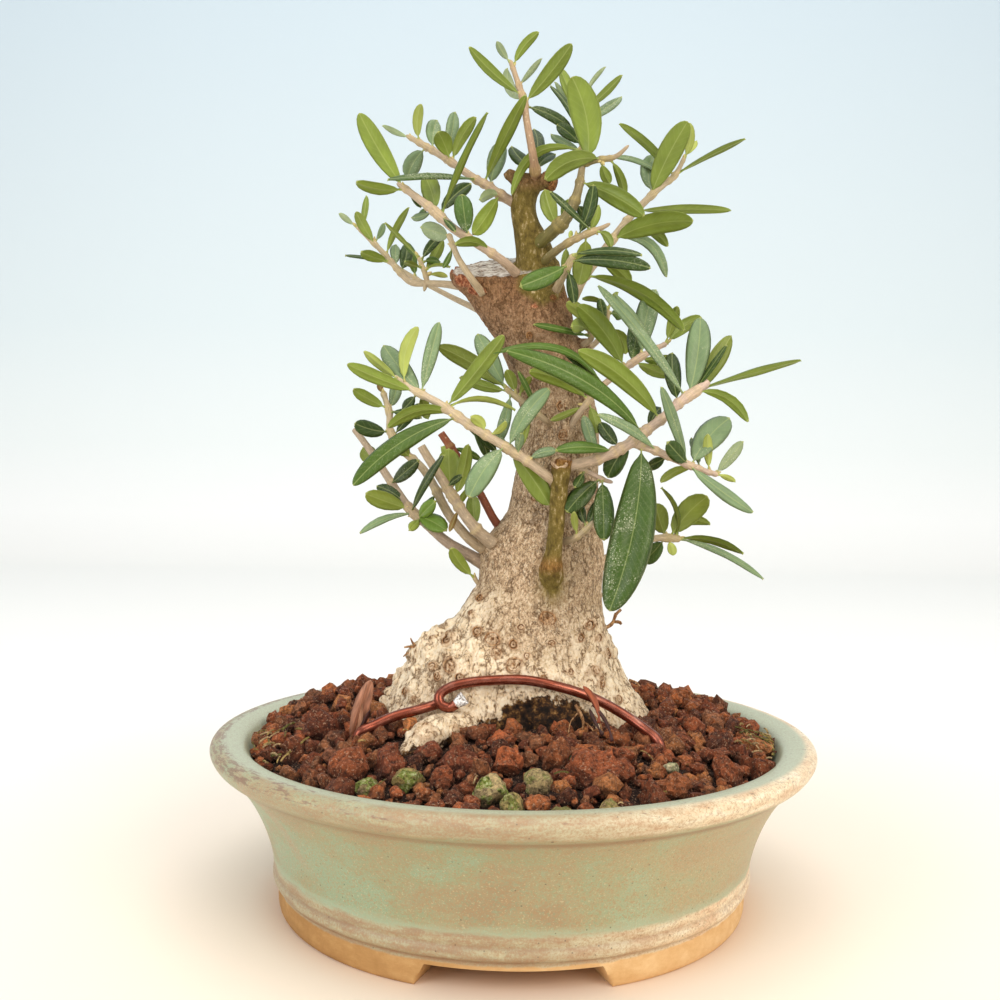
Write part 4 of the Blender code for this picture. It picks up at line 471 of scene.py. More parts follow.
def cell_distance(points, size, seed=0):
    """Distance from each point to the nearest of one random point per cell, in cells, and that cell's value."""
    scaled = points / np.asarray(size, float) + 100
    low = np.floor(scaled).astype(np.int64)
    nearest = np.full(len(points), 9)
    value = np.zeros(len(points))
    for step in np.ndindex(3, 3, 3):
        cell = low + np.array(step) - 1
        spot = cell + np.stack([cell_value(cell, seed + k) for k in range(3)], axis=1)
        away = np.linalg.norm(scaled - spot, axis=1)
        closer = away < nearest
        nearest = np.where(closer, away, nearest)
        value = np.where(closer, cell_value(cell, seed + 3), value)
    return nearest, value


def smooth_rows(rows, count):
    """Rows resampled at even steps along a smooth curve through them, a cubic between each pair whose
    slopes come from the rows on either side."""
    rows = np.asarray(rows, float)
    padded = np.vstack([2 * rows[0] - rows[1], rows, 2 * rows[-1] - rows[-2]])
    t = np.linspace(0, len(rows) - 1, count)
    index = np.minimum(t.astype(int), len(rows) - 2)
    t = (t - index)[:, None]
    a, b, c, d = (padded[index + k] for k in range(4))
    return 0.5 * (2 * b + (c - a) * t + (2 * a - 5 * b + 4 * c - d) * t ** 2 + (3 * b - a - 3 * c + d) * t ** 3)


def even_rows(rows, step):
    """A smooth curve through the rows with a point about every step millimetres."""
    fine = smooth_rows(rows, 24 * len(rows))
    along = np.concatenate([[0], np.cumsum(np.linalg.norm(np.diff(fine[:, :3], axis=0), axis=1))])
    places = np.linspace(0, along[-1], max(4, int(along[-1] / step) + 1))
    return np.stack([np.interp(places, along, fine[:, k]) for k in range(fine.shape[1])], axis=1)


def grid_faces(rows, columns, closed=True):
    """Quads between neighbouring rows of a grid. closed joins the last column to the first."""
    row, column = np.meshgrid(np.arange(rows - 1), np.arange(columns if closed else columns - 1), indexing="ij")
    following = (column + 1) % columns
    quads = [row * columns + column, row * columns + following,
             (row + 1) * columns + following, (row + 1) * columns + column]
    return np.stack(quads, axis=-1).reshape(-1, 4)


def tube_faces(rows, columns):
    """Quads of a tube, and a flat face over its first ring and over its last."""
    ends = [tuple(range(columns - 1, -1, -1)), tuple(range((rows - 1) * columns, rows * columns))]
    return grid_faces(rows, columns).tolist() + ends


def carried_frames(centres):
    """A tangent, a side and an up vector at each point of a path, turned as little as possible."""
    tangents = unit(np.gradient(centres, axis=0))
    side = unit(np.cross(tangents[0], [0.3, 0.9, 0.2]))
    sides = []
    for tangent in tangents:
        side = unit(side - tangent * np.dot(side, tangent))
        sides.append(side)
    sides = np.array(sides)
    return tangents, sides, np.cross(tangents, sides)


def ring_angles(columns):
    """Even angles round a ring."""
    return np.linspace(0, 2 * np.pi, columns, endpoint=False)


def tube_places(along, columns):
    """For each point of a tube: how far along it lies, its angle, and nothing."""
    around = np.tile(ring_angles(columns), len(along))
    return np.stack([np.repeat(along, columns), around, 0 * around], axis=1)


def tube_points(rows, columns, relief=None):
    """A round tube carried along rows of x, y, z, radius: each ring is the centre plus radius times the
    cosine and sine of the angle. relief multiplies the radius by ring and angle."""
    centres = rows[:, :3]
    _tangents, sides, ups = carried_frames(centres)
    angle = ring_angles(columns)
    reach = np.repeat(rows[:, 3:4], columns, axis=1)
    if relief is not None:
        reach = reach * relief
    ring = np.cos(angle)[None, :, None] * sides[:, None] + np.sin(angle)[None, :, None] * ups[:, None]
    return (centres[:, None] + reach[:, :, None] * ring).reshape(-1, 3)


class Shell:
    """Points, faces and values of a mesh that is put together from several surfaces."""

    def __init__(self):
        self.points, self.faces, self.slots, self.tones, self.places = [], [], [], [], []
        self.bark, self.marks = [], []
        self.count = 0

    def add(self, points, faces, tones=(0, 0, 0, 1), places=(0, 0, 0), slot=0):
        """Take in one surface: tones is a colour per face, places three values per point."""
        faces = [tuple(int(i) + self.count for i in face) for face in faces]
        self.points.append(points)
        self.faces += faces
        self.slots += np.broadcast_to(slot, len(faces)).tolist()
        self.tones.append(np.broadcast_to(tones, (len(faces), 4)))
        self.places.append(np.broadcast_to(places, (len(points), 3)))
        self.count += len(points)

    def weigh(self, bark, marks):
        """Weights of the surface added last, for the bark finish: cream, damp, sawn and young, then
        brown, crack, peeling and one that isn't used."""
        count = len(self.points[-1])
        for store, weights in ((self.bark, bark), (self.marks, marks)):
            store.append(np.column_stack([np.broadcast_to(weight, count) for weight in weights]))

    def make(self, name, materials, smooth=True):
        """The mesh object, with the values as attributes: a tone per face, the others per point."""
        item = new_object(name, np.concatenate(self.points), self.faces, materials, smooth)
        item.data.polygons.foreach_set("material_index", self.slots)
        corners = np.repeat(np.concatenate(self.tones), [len(face) for face in self.faces], axis=0)
        keep_values(item, "tone", corners, "CORNER")
        keep_values(item, "place", np.concatenate(self.places))
        if self.bark:
            keep_values(item, "bark", np.concatenate(self.bark))
            keep_values(item, "marks", np.concatenate(self.marks))
        return item


def keep_values(item, name, values, domain="POINT"):
    """Store rows of four values as a colour attribute, or of three as a vector."""
    kind, field = ("FLOAT_COLOR", "color") if values.shape[1] == 4 else ("FLOAT_VECTOR", "vector")
    layer = item.data.attributes.new(name, kind, domain)
    layer.data.foreach_set(field, values.astype(np.float32).ravel())


def new_object(name, points, faces, materials, smooth=True):
    """An object from points in millimetres and faces, at the origin."""
    mesh = bpy.data.meshes.new(name)
    mesh.from_pydata((np.asarray(points) * MM).tolist(), [], [tuple(face) for face in faces])
    for material in materials:
        mesh.materials.append(material)
    mesh.polygons.foreach_set("use_smooth", [smooth] * len(mesh.polygons))
    mesh.update()
    item = bpy.data.objects.new(name, mesh)
    bpy.context.scene.collection.objects.link(item)
    return item


def settle(item, slot, *nodes):
    """Say what the piece rides on and hide the solids that it stands for. Its finish slot is not used."""
    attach(item, "root")
    if nodes:
        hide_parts(*nodes)


# The kinds of shader node that the finishes use, each with its settings.
NODE_KINDS = {
    "object": ("TexCoord", {}), "split": ("SeparateXYZ", {}),
    "tone": ("Attribute", {"attribute_name": "tone"}), "place": ("Attribute", {"attribute_name": "place"}),
    "bark": ("Attribute", {"attribute_name": "bark"}), "marks": ("Attribute", {"attribute_name": "marks"}),
    "channels": ("SeparateColor", {}), "noise": ("TexNoise", {}), "cells": ("TexVoronoi", {}),
    "ramp": ("ValToRGB", {}), "bump": ("Bump", {}), "range": ("MapRange", {}),
    "step": ("MapRange", {"interpolation_type": "SMOOTHSTEP"}), "blend": ("Mix", {"data_type": "RGBA"}),
    "tint": ("Mix", {"data_type": "RGBA", "blend_type": "MULTIPLY"}),
    "join": ("CombineXYZ", {}), "stretch": ("VectorMath", {"operation": "MULTIPLY"}),
    "scale": ("VectorMath", {"operation": "SCALE"}), "reach": ("VectorMath", {"operation": "LENGTH"}),
}


SUMS = {"plus": "ADD", "minus": "SUBTRACT", "times": "MULTIPLY", "over": "DIVIDE", "size": "ABSOLUTE",
        "most": "MAXIMUM", "wave": "SINE", "angle": "ARCTAN2"}
NODE_KINDS.update({kind: ("Math", {"operation": operation}) for kind, operation in SUMS.items()})


def fill(tree, socket, value):
    """Link a socket to another node's socket, or set it to a value. None leaves it as it is."""
    if isinstance(value, bpy.types.NodeSocket):
        tree.links.new(value, socket)
    elif value is not None:
        socket.default_value = linear(value) if socket.type == "RGBA" else value


def add_node(tree, kind, *inputs, out="", stops=(), **settings):
    """Add a node of one of the kinds, with its settings and a ramp's stops as position and colour. The
    inputs fill its open sockets in order. Gives back the outputs that out names, or the first one."""
    name, usual = NODE_KINDS[kind]
    node = tree.nodes.new("ShaderNode" + name)
    for key, value in {**usual, **settings}.items():
        setattr(node, key, value)
    for socket, value in zip([socket for socket in node.inputs if socket.enabled], inputs):
        fill(tree, socket, value)
    for index, (position, colour) in enumerate(sorted(stops)):
        element = node.color_ramp.elements[index] if index < 2 else node.color_ramp.elements.new(position)
        element.position, element.color = position, linear(colour)
    if " " in out:
        return [node.outputs[name] for name in out.split()]
    return node.outputs[out] if out else next(socket for socket in node.outputs if socket.enabled)


def new_material(name):
    """A material, the call that adds a node to it, and its Object coordinates in millimetres."""
    material = bpy.data.materials.new(name)
    material.use_nodes = True
    add = partial(add_node, material.node_tree)
    return material, add, add("scale", add("object", out="Object"), 1 / MM)


def coats(add, body, *layers):
    """The body's colour with layers blended over it in order, each a weight and a colour."""
    for weight, colour in layers:
        body = add("blend", weight, body, colour)
    return body


def dress(material, values):
    """The material, with the sockets of its Principled shader filled by name."""
    for name, value in values.items():
        fill(material.node_tree, material.node_tree.nodes["Principled BSDF"].inputs[name], value)
    return material


# Surfaces


def leaf_outline(share, stalk):
    """Half width of a leaf along its length, as a share of the widest: nothing along the stalk, then an
    oblong lance shape with a blunt tip, the product of a power of the way from the base and of a power
    of the way to the tip."""
    s = np.clip((share - stalk) / (1 - stalk), 0, 1)
    lance = (s + 0.02) ** 0.72 * (1 - s) ** 0.5
    return lance / 0.449 * fade(s, -0.02, 0.1)


# How far a leaf's edges roll under, against its fold.
ROLL = 1.15
# The tones of leaves that have died.
WITHERED_TONES = "wpqr"


def leaf_points(base, tip, width, bow, turn, rng, stations, across_count, fold):
    """Points of a leaf: its middle line is a quadratic curve from base to tip, bowed sideways by twice
    bow and arched a little toward its upper face. At each station an upper and a lower row run from edge
    to edge: they rise from the midrib into two shallow folds and roll under at the edges, by a first and
    a fourth power of the way across."""
    length = np.linalg.norm(tip - base)
    middle = (base + tip) / 2
    sight = unit(VIEWPOINT - middle)
    bend = middle + unit(np.cross(sight, unit(tip - base))) * bow * 2
    stalk = min(0.22, 1.3 / length)
    thickness = bpy.context.scene.bonsai_leaves.thickness / MM
    spread = 0.5 - 0.5 * np.cos(np.pi * np.linspace(0, 1, stations - 2))
    t = np.concatenate([np.linspace(0, stalk, 3)[:-1], stalk + (1 - stalk) * spread])
    s = t[:, None]
    centre = base * (1 - s) ** 2 + bend * 2 * s * (1 - s) + tip * s ** 2
    run = unit((bend - base) * (1 - s) + (tip - bend) * s)
    facing = unit(sight - run * np.sum(sight * run, axis=1, keepdims=True))
    angle = np.radians(turn + rng.uniform(-8, 8) * (s - 0.5) * 2)
    upper = np.cos(angle) * facing + np.sin(angle) * np.cross(run, facing)
    across = np.cross(run, upper)
    centre = centre + upper[:1] * (rng.uniform(0.02, 0.09) * length * 4 * s * (1 - s))
    half = width / 2
    outline = leaf_outline(t, stalk)
    reach = np.maximum(outline * half, 0.42 * (1 - fade(t, 0, stalk * 1.6)) + 0.1)[:, None, None]
    fullness = np.clip(outline, 0, 1)[:, None, None]
    v = np.linspace(-1, 1, across_count)[None, :, None]
    wave = 0.05 * half * np.sin(t * rng.uniform(9, 15) + rng.uniform(0, 6))[:, None, None] * v * fullness
    lift = reach * fold * fullness * (np.abs(v) - ROLL * v ** 4) + wave
    depth = thickness * (0.55 + 1.4 * (1 - fullness) ** 4) * np.sqrt(np.clip(1 - v ** 2, 0, 1)) / 2
    rib = np.exp(-(v * reach / 0.28) ** 2) * fullness
    blade = centre[:, None] + across[:, None] * (v * reach)
    top = blade + upper[:, None] * (lift + depth - 0.1 * rib)
    low = blade + upper[:, None] * (lift - depth - 0.12 * rib)
    place = np.concatenate(np.broadcast_arrays((t * length)[:, None, None], v * reach, np.abs(v)), axis=-1)
    ring = np.concatenate([top, low[:, -2:0:-1]], axis=1)
    place = np.concatenate([place, place[:, -2:0:-1]], axis=1)
    return ring.reshape(-1, 3), place.reshape(-1, 3), len(t), 2 * across_count - 2


def add_leaf(shell, base, tip, width, bow, turn, tone, rng, fold=0.36):
    """A leaf with a colour for each face of it and the thickness of its scales in the alpha. Living
    leaves are pale at the stalk and the tip."""
    stations = int(np.clip(np.linalg.norm(tip - base) / 1.15, 12, 26))
    across_count = 9 if width > 2.6 else 7
    points, places, rows, columns = leaf_points(base, tip, width, bow, turn, rng, stations, across_count, fold)
    face = np.arange((rows - 1) * columns)
    upper_side = (face % columns < across_count - 1)[:, None]
    upper_hex, under_hex, scales = LEAF_TONES[tone]
    tones = np.where(upper_side, paint(upper_hex), paint(under_hex)) * rng.uniform(0.82, 1.16)
    share = face // columns / (rows - 2)
    pale = np.maximum(0.85 * (1 - fade(share, 0.02, 0.17)), 0.5 * fade(share, 0.95, 1))[:, None]
    if tone not in WITHERED_TONES:
        tones = tones * (1 - pale) + paint("#b8b866") * pale
    tones[:, 3:] = np.where(upper_side, scales, scales * 0.8)
    shell.add(points, tube_faces(rows, columns), np.vstack([tones, tones[:1], tones[-1:]]), places)


# A stem's own thickness against its solid's, which has to be a little stouter.
STEM_SLIMNESS = 0.8


def seen_rows(points):
    """Rows of across, up, forward, radius as rows of x, y, z, radius."""
    return np.column_stack([seen(points), [p[3] * shrink(p[2]) for p in points]])


def add_stem(shell, points, nodes, tones, rng, cut, columns=12):
    """A woody stem through its points, swollen where each leaf sits, with lengthwise wrinkles. Its
    colour goes from the first tone to the second. A stem that isn't cut off tapers at its end."""
    path = even_rows(seen_rows(points), 0.55)
    along = np.concatenate([[0], np.cumsum(np.linalg.norm(np.diff(path[:, :3], axis=0), axis=1))])
    knots = np.zeros(len(path))
    for spot in nodes:
        away = np.linalg.norm(path[:, :3] - spot, axis=1)
        knots = np.maximum(knots, np.exp(-(away / 0.6) ** 2))
    angle = ring_angles(columns)
    wrinkle = 0.03 * np.sin(3 * angle + along[:, None] * 0.4)
    wrinkle = wrinkle + 0.02 * rng.uniform(-1, 1, wrinkle.shape)
    relief = (STEM_SLIMNESS + 0.24 * knots)[:, None] * (1 + wrinkle)
    if not cut:
        relief[-1] *= 0.55
    mix = np.repeat(along[:-1] / along[-1], columns)[:, None]
    foot, tip = (paint(tone) for tone in tones)
    colours = foot * (1 - mix) + tip * mix
    knotty = 0.28 * np.repeat(knots[:-1], columns)[:, None]
    colours = colours * (1 - knotty) + paint("#bfa75e") * knotty
    colours = np.vstack([colours, foot, paint("#e2c0a8" if cut else "#a58a62")])
    places = tube_places(along, columns)
    shell.add(tube_points(path, columns, relief), tube_faces(len(path), columns), colours, places, 1)


def nearest_on_stems(paths, across, up):
    """The point on the stems' middle lines that shows nearest to (across, up)."""
    line = np.concatenate([even_rows(path, 0.3)[:, :3] for path in paths])
    away = np.linalg.norm(shown(line) - np.array([across, up]), axis=1)
    return line[int(np.argmin(away))]


def add_bud(shell, spot, way, size, rng):
    """A small pointed bud: a tube whose radius follows a half sine along its way."""
    t = np.linspace(0, 1, 5)
    centre = spot + way * (t[:, None] * size * 2)
    radius = size * 0.55 * np.sin(np.pi * (0.25 + 0.75 * t)) + 0.05
    surface = tube_points(np.column_stack([centre, radius]), 6)
    shell.add(surface, tube_faces(5, 6), paint("#c4b273") * rng.uniform(0.9, 1.1), slot=1)


# A stem that is still this thick at its end was cut off there.
CUT_STEM_RADIUS = 0.99


def read_shoot(text):
    """The stems and the leaves of a shoot from its text."""
    *stems, leaves = text.split(";")
    leaves = [row.split() for row in leaves.split(",")]
    return [rows_of(stem) for stem in stems], [(*map(float, row[:-1]), row[-1]) for row in leaves]


def make_shoot(name, materials):
    """A leafy shoot: its stems, its leaves on them, and a bud in each leaf's corner."""
    rng = np.random.default_rng(SEED + sum(map(ord, name)))
    stems, leaves = read_shoot(SHOOTS[name])
    paths = [seen_rows(points) for points in stems]
    bases = [nearest_on_stems(paths, *leaf[:2]) for leaf in leaves]
    shell = Shell()
    for points in stems:
        cut = points[-1][3] >= CUT_STEM_RADIUS and len(points) > 5
        add_stem(shell, points, bases, STEM_TONES.get(name, PLAIN_STEM), rng, cut)
    for base, leaf in zip(bases, leaves):
        tip = seen(leaf[2:5])[0]
        forward, width, bow, turn, tone = leaf[4:]
        add_leaf(shell, base, tip, width * shrink(forward), bow, turn, tone, rng)
        way = unit(unit(tip - base) + rng.uniform(-0.5, 0.5, 3) + (0, 0, 0.5))
        add_bud(shell, base + way * 0.4, way, rng.uniform(0.45, 0.8), rng)
    return shell.make(name + "_fine", materials)


def wood_rows(sections, rows, columns):
    """A woody body through its sections: each ring is an oval, and its radius takes the bark's broad
    relief, sines of the angle that fade up the trunk."""
    filled = smooth_rows(sections, rows)
    height, left, right, depth, back = (column[:, None] for column in filled.T)
    angle = ring_angles(columns)[None]
    low = np.clip((78 - height) / 30, 0, 1)
    roots = 0.07 * np.sin(5 * angle + 0.9) + 0.04 * np.sin(9 * angle + 0.11 * height)
    lumps = 0.02 * np.sin(3 * angle + 0.21 * height) + 0.014 * np.sin(7 * angle - 0.33 * height)
    reach = 1 + (low * roots + lumps) * np.sin(angle) ** 2
    x = (left + right) / 2 + (right - left) / 2 * reach * np.cos(angle)
    y = back + depth * reach * np.sin(angle)
    z = np.broadcast_to(height + LEVEL, x.shape)
    return x, y, z


def rough_wood():
    """The trunk, leader and stubs as one closed skin: the surfaces are fused on a fine voxel grid."""
    shell = Shell()
    x, y, z = wood_rows(TRUNK_SECTIONS, 150, 72)
    share = np.linspace(0, 1, 150)[:, None] ** 14
    middle = (x.max(axis=1, keepdims=True) + x.min(axis=1, keepdims=True)) / 2
    z = z + share * (CUT_SLOPE_BACK * y + CUT_SLOPE_SIDE * (x - middle))
    shell.add(np.stack([x, y, z], axis=-1).reshape(-1, 3), tube_faces(150, 72))
    leader = wood_rows(LEADER_SECTIONS, 60, 36)
    shell.add(np.stack(leader, axis=-1).reshape(-1, 3), tube_faces(60, 36))
    for points in STUBS:
        path = even_rows(seen_rows(points), 1)
        shell.add(tube_points(path, 16), tube_faces(len(path), 16))
    item = shell.make("trunk_rough", [])
    grid = item.modifiers.new("Fuse", "REMESH")
    grid.mode = "VOXEL"
    grid.voxel_size = 0.6 * MM
    fused = applied_mesh(item)
    bpy.data.objects.remove(item, do_unlink=True)
    return fused


def applied_mesh(item):
    """A new mesh of the object with its modifiers applied."""
    bpy.context.view_layer.update()
    return bpy.data.meshes.new_from_object(item.evaluated_get(bpy.context.evaluated_depsgraph_get()))


def read_rows(items, field, width, kind=np.float32):
    """One field of a mesh's points or edges as rows."""
    values = np.empty(len(items) * width, kind)
    items.foreach_get(field, values)
    return values.reshape(-1, width)


def relax(points, edges, rounds):
    """Points moved half way to the mean of their neighbours, a few times."""
    degree = np.bincount(edges.ravel(), minlength=len(points))[:, None]
    for _round in range(rounds):
        total = np.zeros_like(points)
        np.add.at(total, edges[:, 0], points[edges[:, 1]])
        np.add.at(total, edges[:, 1], points[edges[:, 0]])
        points = 0.5 * points + 0.5 * total / np.maximum(degree, 1)
    return points


# Scars of cut roots and twigs on the trunk's face: across, up, radius, height of the ring.
RING_SCARS = rows_of("""
    -9.4 67.5 1.4 0.6, -5.4 65.8 1.9 0.9, -4.5 62.1 1.5 0.7, -0.3 64.4 1.2 0.5, -16.2 58.7 2 0.7,
    0.2 59.1 2 0.6, 3.4 61.4 0.9 0.5, -23 48 1.3 0.5, -17 65.4 1.6 0.7, 9.5 64.9 0.9 0.5, 19.2 69.6 1.5 0.7,
    21 58 1.1 0.5, -22.6 41.4 2.3 1.1, 14.5 57.4 1 0.5, 8 55.6 1 0.4, 24 62.4 1.2 0.6, -20.6 58.4 1.2 0.5,
    -13.6 55.6 1.2 0.5, -19.4 55.8 1 0.5, 1.6 68.6 0.9 0.5, 8.4 71 1.9 0.8, 17 66 1 0.5, 21.6 66.4 1 0.5,
    -11.4 52.8 1 0.4, 22.6 54.6 1.1 0.5, 27 50.6 1.2 0.5, -27.4 52 1.2 0.5, -8.8 76 1.1 0.4,
    7.8 182.3 2 0.5, 11.8 117.8 1.3 0.6, 11.2 125.2 1.2 0.5, 4.6 101.6 0.7 0.3, 2.9 143.1 0.8 0.3,
    8.8 152.6 0.8 0.4""")
# How high the cream bark of the root base reaches: across, height.
CREAM_EDGE = [(-30, -16, -4, 6, 13, 20, 28), (76, 78, 70, 65, 66, 70, 70)]
# How high the damp, earthy foot reaches, in the same terms.
DAMP_EDGE = [(-40, -26, -20, -15.5, -9, -3, 1.2, 9, 15, 18, 21, 24, 40),
             (30, 38, 37, 41, 44.5, 47.4, 49.4, 51.2, 50.6, 48.5, 43, 36, 32)]
# Patches of red-brown peeling bark beside the cut: across, up, half width, half height.
PEELING_BARK = rows_of("""
    -13.4 156.8 2.6 2, -10.6 154.2 2.4 1.2, -4.6 159.6 2.6 1.3, -16.2 159.4 1.2 1.6, 9 144.6 0.9 0.8,
    4 150.4 0.8 0.6""")


def patch(across, up, centre_x, centre_z, half_x, half_z):
    """A soft oval patch: 1 at its centre and falling as a bell."""
    return np.exp(-((across - centre_x) / half_x) ** 2 - ((up - centre_z) / half_z) ** 2)


def bark_relief(points, normals):
    """How far the bark stands out in millimetres, and the weights for its colours: how cream, how
    damp, how brown with scars and how deep in a crack."""
    across, up = shown(points).T
    front = fade(np.sum(normals * unit(VIEWPOINT - points), axis=1), 0, 0.35)
    height = points[:, 2] - LEVEL
    cream_top = np.interp(across, *CREAM_EDGE)
    low = 1 - fade(height - cream_top + 7 * noise(points, 11, 5) + 5 * noise(points, 4, 6), -6, 9)
    out = 0.8 * layered_noise(points, 11, 2, 1) * (0.4 + 0.6 * low)
    out += 0.34 * layered_noise(points, 4.2, 2, 23) * low
    out += 1.3 * layered_noise(points, 2.8, 2, 27) * patch(across, up, -21, 64, 7, 7)
    squiggle = np.abs(layered_noise(points, (2.6, 2.6, 3.6), 2, 9))
    crack = 1 - fade(squiggle, 0.03, 0.18)
    out -= (0.16 + 0.16 * low) * crack
    out += 0.2 * layered_noise(points, (1.5, 1.5, 2), 2, 17)
    away, value = cell_distance(points, 3.6, 31)
    wart = fade(0.46 - away, 0, 0.3) * (value > 0.45)
    out += (0.6 + 0.5 * fade(-across, 8, 18)) * wart * low * fade(height, 38, 46)
    brown = 0.45 * wart * (value > 0.8) * low
    for knob in ((11, 180, 8, 5.5), (0, 184, 7, 4)):
        out += 0.45 * layered_noise(points, 2.2, 2, 51) * patch(across, up, *knob)
    for x, z, radius, rise in RING_SCARS:
        ring = np.hypot(across - x, (up - z) * 1.1) + 0.22 * radius * noise(points, 1.3, 61)
        band = np.exp(-((ring - radius * 0.85) / (0.3 * radius)) ** 2)
        pit = np.exp(-(ring / (0.4 * radius)) ** 2)
        out += front * rise * (0.5 * band - 0.3 * pit)
        brown = np.maximum(brown, front * np.clip(0.45 * band, 0, 1) * (up < 90))
    cream = np.clip(low * (0.85 + 0.35 * noise(points, 9, 71)) + 0.06, 0, 1)
    above = up - np.interp(across, *DAMP_EDGE) + 1.6 * layered_noise(points, (5, 5, 3), 3, 81)
    damp = (1 - fade(above, -2.4, 1.8)) * front
    out += 0.5 * layered_noise(points, (2.2, 2.2, 1.6), 2, 83) * damp
    return out, cream, np.clip(damp, 0, 1), brown, crack, across, up


def cut_weight(points, normals):
    """Where the wood was sawn: the sloping top of the trunk and the end of the thick stub."""
    height = points[:, 2] - LEVEL
    top = fade(normals[:, 2], 0.72, 0.9) * fade(height, 154, 157)
    leader = np.hypot(points[:, 0] - 4.7, points[:, 1] + 0.5) < 6.4
    return top * np.where(leader & (height > 160), 0, 1)


def green_weight(points, across, up):
    """Where the bark is still young and olive: the foot of the thick shoot in front, and the leader
    with the tongue that it sends down over the old wood."""
    foot = patch(across, up, 9.6, 79.6, 2.9, 4.2) * (points[:, 1] < -6)
    edge = 150.6 + 0.1 * (across - 5.4) ** 2 + 1.2 * noise(points, 3, 95)
    sides = fade(across, -1.2, 0.8) * (1 - fade(across, 10.6, 12.4))
    tongue = fade(up - edge, -0.6, 1.4) * np.where(up > 160, 1, sides)
    crown = 1 - fade(up, 178.5, 182)
    return np.clip(np.maximum(1.3 * foot, tongue * (0.25 + 0.75 * crown)), 0, 1)


def make_trunk(materials):
    """The trunk: the fused skin, smoothed where the surfaces meet, then carved with its bark, with the
    pruned shoot on its front and the small things that stick out of it."""
    mesh = rough_wood()
    points = read_rows(mesh.vertices, "co", 3).astype(float) / MM
    points = relax(points, read_rows(mesh.edges, "vertices", 2, np.int32), 3)
    mesh.vertices.foreach_set("co", (points * MM).astype(np.float32).ravel())
    mesh.update()
    normals = read_rows(mesh.vertices, "normal", 3).astype(float)
    cut = cut_weight(points, normals)
    out, cream, damp, brown, crack, across, up = bark_relief(points, normals)
    green = green_weight(points, across, up)
    rim = np.exp(-((up - 158) / 3.2) ** 2) * (across < 0) * (1 - cut)
    out = out * (1 - 0.7 * cut) * (1 - 0.65 * green) + 0.7 * rim * layered_noise(points, 2.4, 2, 97)
    out += cut * 0.5 * layered_noise(points, (1.2, 4, 1.2), 2, 91) - 0.5 * cut
    out *= bpy.context.scene.bonsai_trunk.relief
    ragged = 0.3 * noise(points, 1.6, 99)
    away = [np.hypot((across - x) / half_x, (up - z) / half_z) for x, z, half_x, half_z in PEELING_BARK]
    peel = (1 - fade(np.min(away, axis=0) + ragged, 0.8, 1.1)) * (1 - cut)
    points = points + normals * (out + 0.3 * peel)[:, None]
    shell = Shell()
    shell.add(points, [tuple(face.vertices) for face in mesh.polygons])
    shell.weigh((cream, damp, cut, green), (brown, crack, peel, 1))
    bpy.data.meshes.remove(mesh)
    add_scars(shell, points, normals)
    add_front_stub(shell)
    add_root_hairs(shell)
    return shell.make("trunk_fine", materials)


# The turned form of a scar, in parts of its radius: radius, height, brown, and hollow, which paints the groove
# and the centre dark as painted shade.
SCAR_PROFILE = [
    (1.35, -0.45, 0, 0), (1.12, 0.1, 0.3, 0), (0.98, 0.3, 0.7, 0), (0.84, 0.32, 0.9, 0.1),
    (0.72, 0.14, 1, 0.9), (0.62, 0.04, 1, 1), (0.5, 0.18, 0.7, 0.2), (0.34, 0.24, 0.5, 0),
    (0.2, 0.18, 0.8, 0.4), (0.04, 0.06, 1, 1),
]
# The same for the stub's cut face: a pale rim round dark heartwood.
STUB_PROFILE = [
    (1.25, -0.5, 0.5, 0), (1.08, 0.1, 0.5, 0), (0.94, 0.3, 0.4, 0), (0.76, 0.32, 0.3, 0),
    (0.64, 0.2, 0.9, 0.3), (0.5, 0.12, 1, 0.9), (0.36, 0.14, 0.9, 0.5), (0.18, 0.1, 1, 1), (0.04, 0.08, 1, 1),
]


# Above this height the scar is the cut end of the leader's knob.
KNOB_HEIGHT = 175


def add_scars(shell, skin, normals):
    """The healed rings where roots and twigs were cut: each is a small turned form with a raised lip, a
    brown groove and a pale button with a dark centre, groove and centre darkened by painted shade, set on the
    bark."""
    rng = np.random.default_rng(SEED + 7)
    flat = shown(skin)
    front = np.sum(normals * unit(VIEWPOINT - skin), axis=1) > 0.15
    for x, z, radius, _rise in RING_SCARS:
        away = np.where(front, np.linalg.norm(flat - (x, z), axis=1), 99)
        near = away < max(1, away.min() + 0.3)
        spot, way = skin[near].mean(axis=0), unit(normals[away < 2.4].sum(axis=0))
        if z > KNOB_HEIGHT:
            way = unit(VIEWPOINT - spot)
            spot = spot + way * 0.5
        profile = STUB_PROFILE if z > KNOB_HEIGHT else SCAR_PROFILE
        add_scar(shell, spot, way, radius, float(z < 70), rng, profile)


def add_scar(shell, spot, way, radius, cream, rng, profile):
    """One turned scar at a spot, facing a way: each ring is the spot plus the profile's radius times the
    cosine and sine of the angle, raised by the profile's height."""
    columns = 18
    angle = ring_angles(columns)
    side = unit(np.cross(way, [0.2, 0.1, 1]))
    rise = np.cross(way, side)
    wobble = 1 + 0.1 * np.sin(2 * angle + rng.uniform(0, 6)) + 0.08 * rng.uniform(-1, 1, columns)
    rings = [spot + (np.cos(angle)[:, None] * side * rng.uniform(0.9, 1.1) + np.sin(angle)[:, None] * rise)
             * (share * radius * wobble)[:, None] + way * (height * radius * 0.9)
             for share, height, _brown, _hollow_shade in profile]
    shell.add(np.vstack(rings), tube_faces(len(rings), columns))
    # hollow darkens the groove and the centre: painted shade in the scar's hollows.
    brown, hollow_shade = (np.repeat([row[k] for row in profile], columns) for k in (2, 3))
    shell.weigh((cream, 0, 0, 0), (brown * rng.uniform(0.7, 1), hollow_shade, 0, 1))


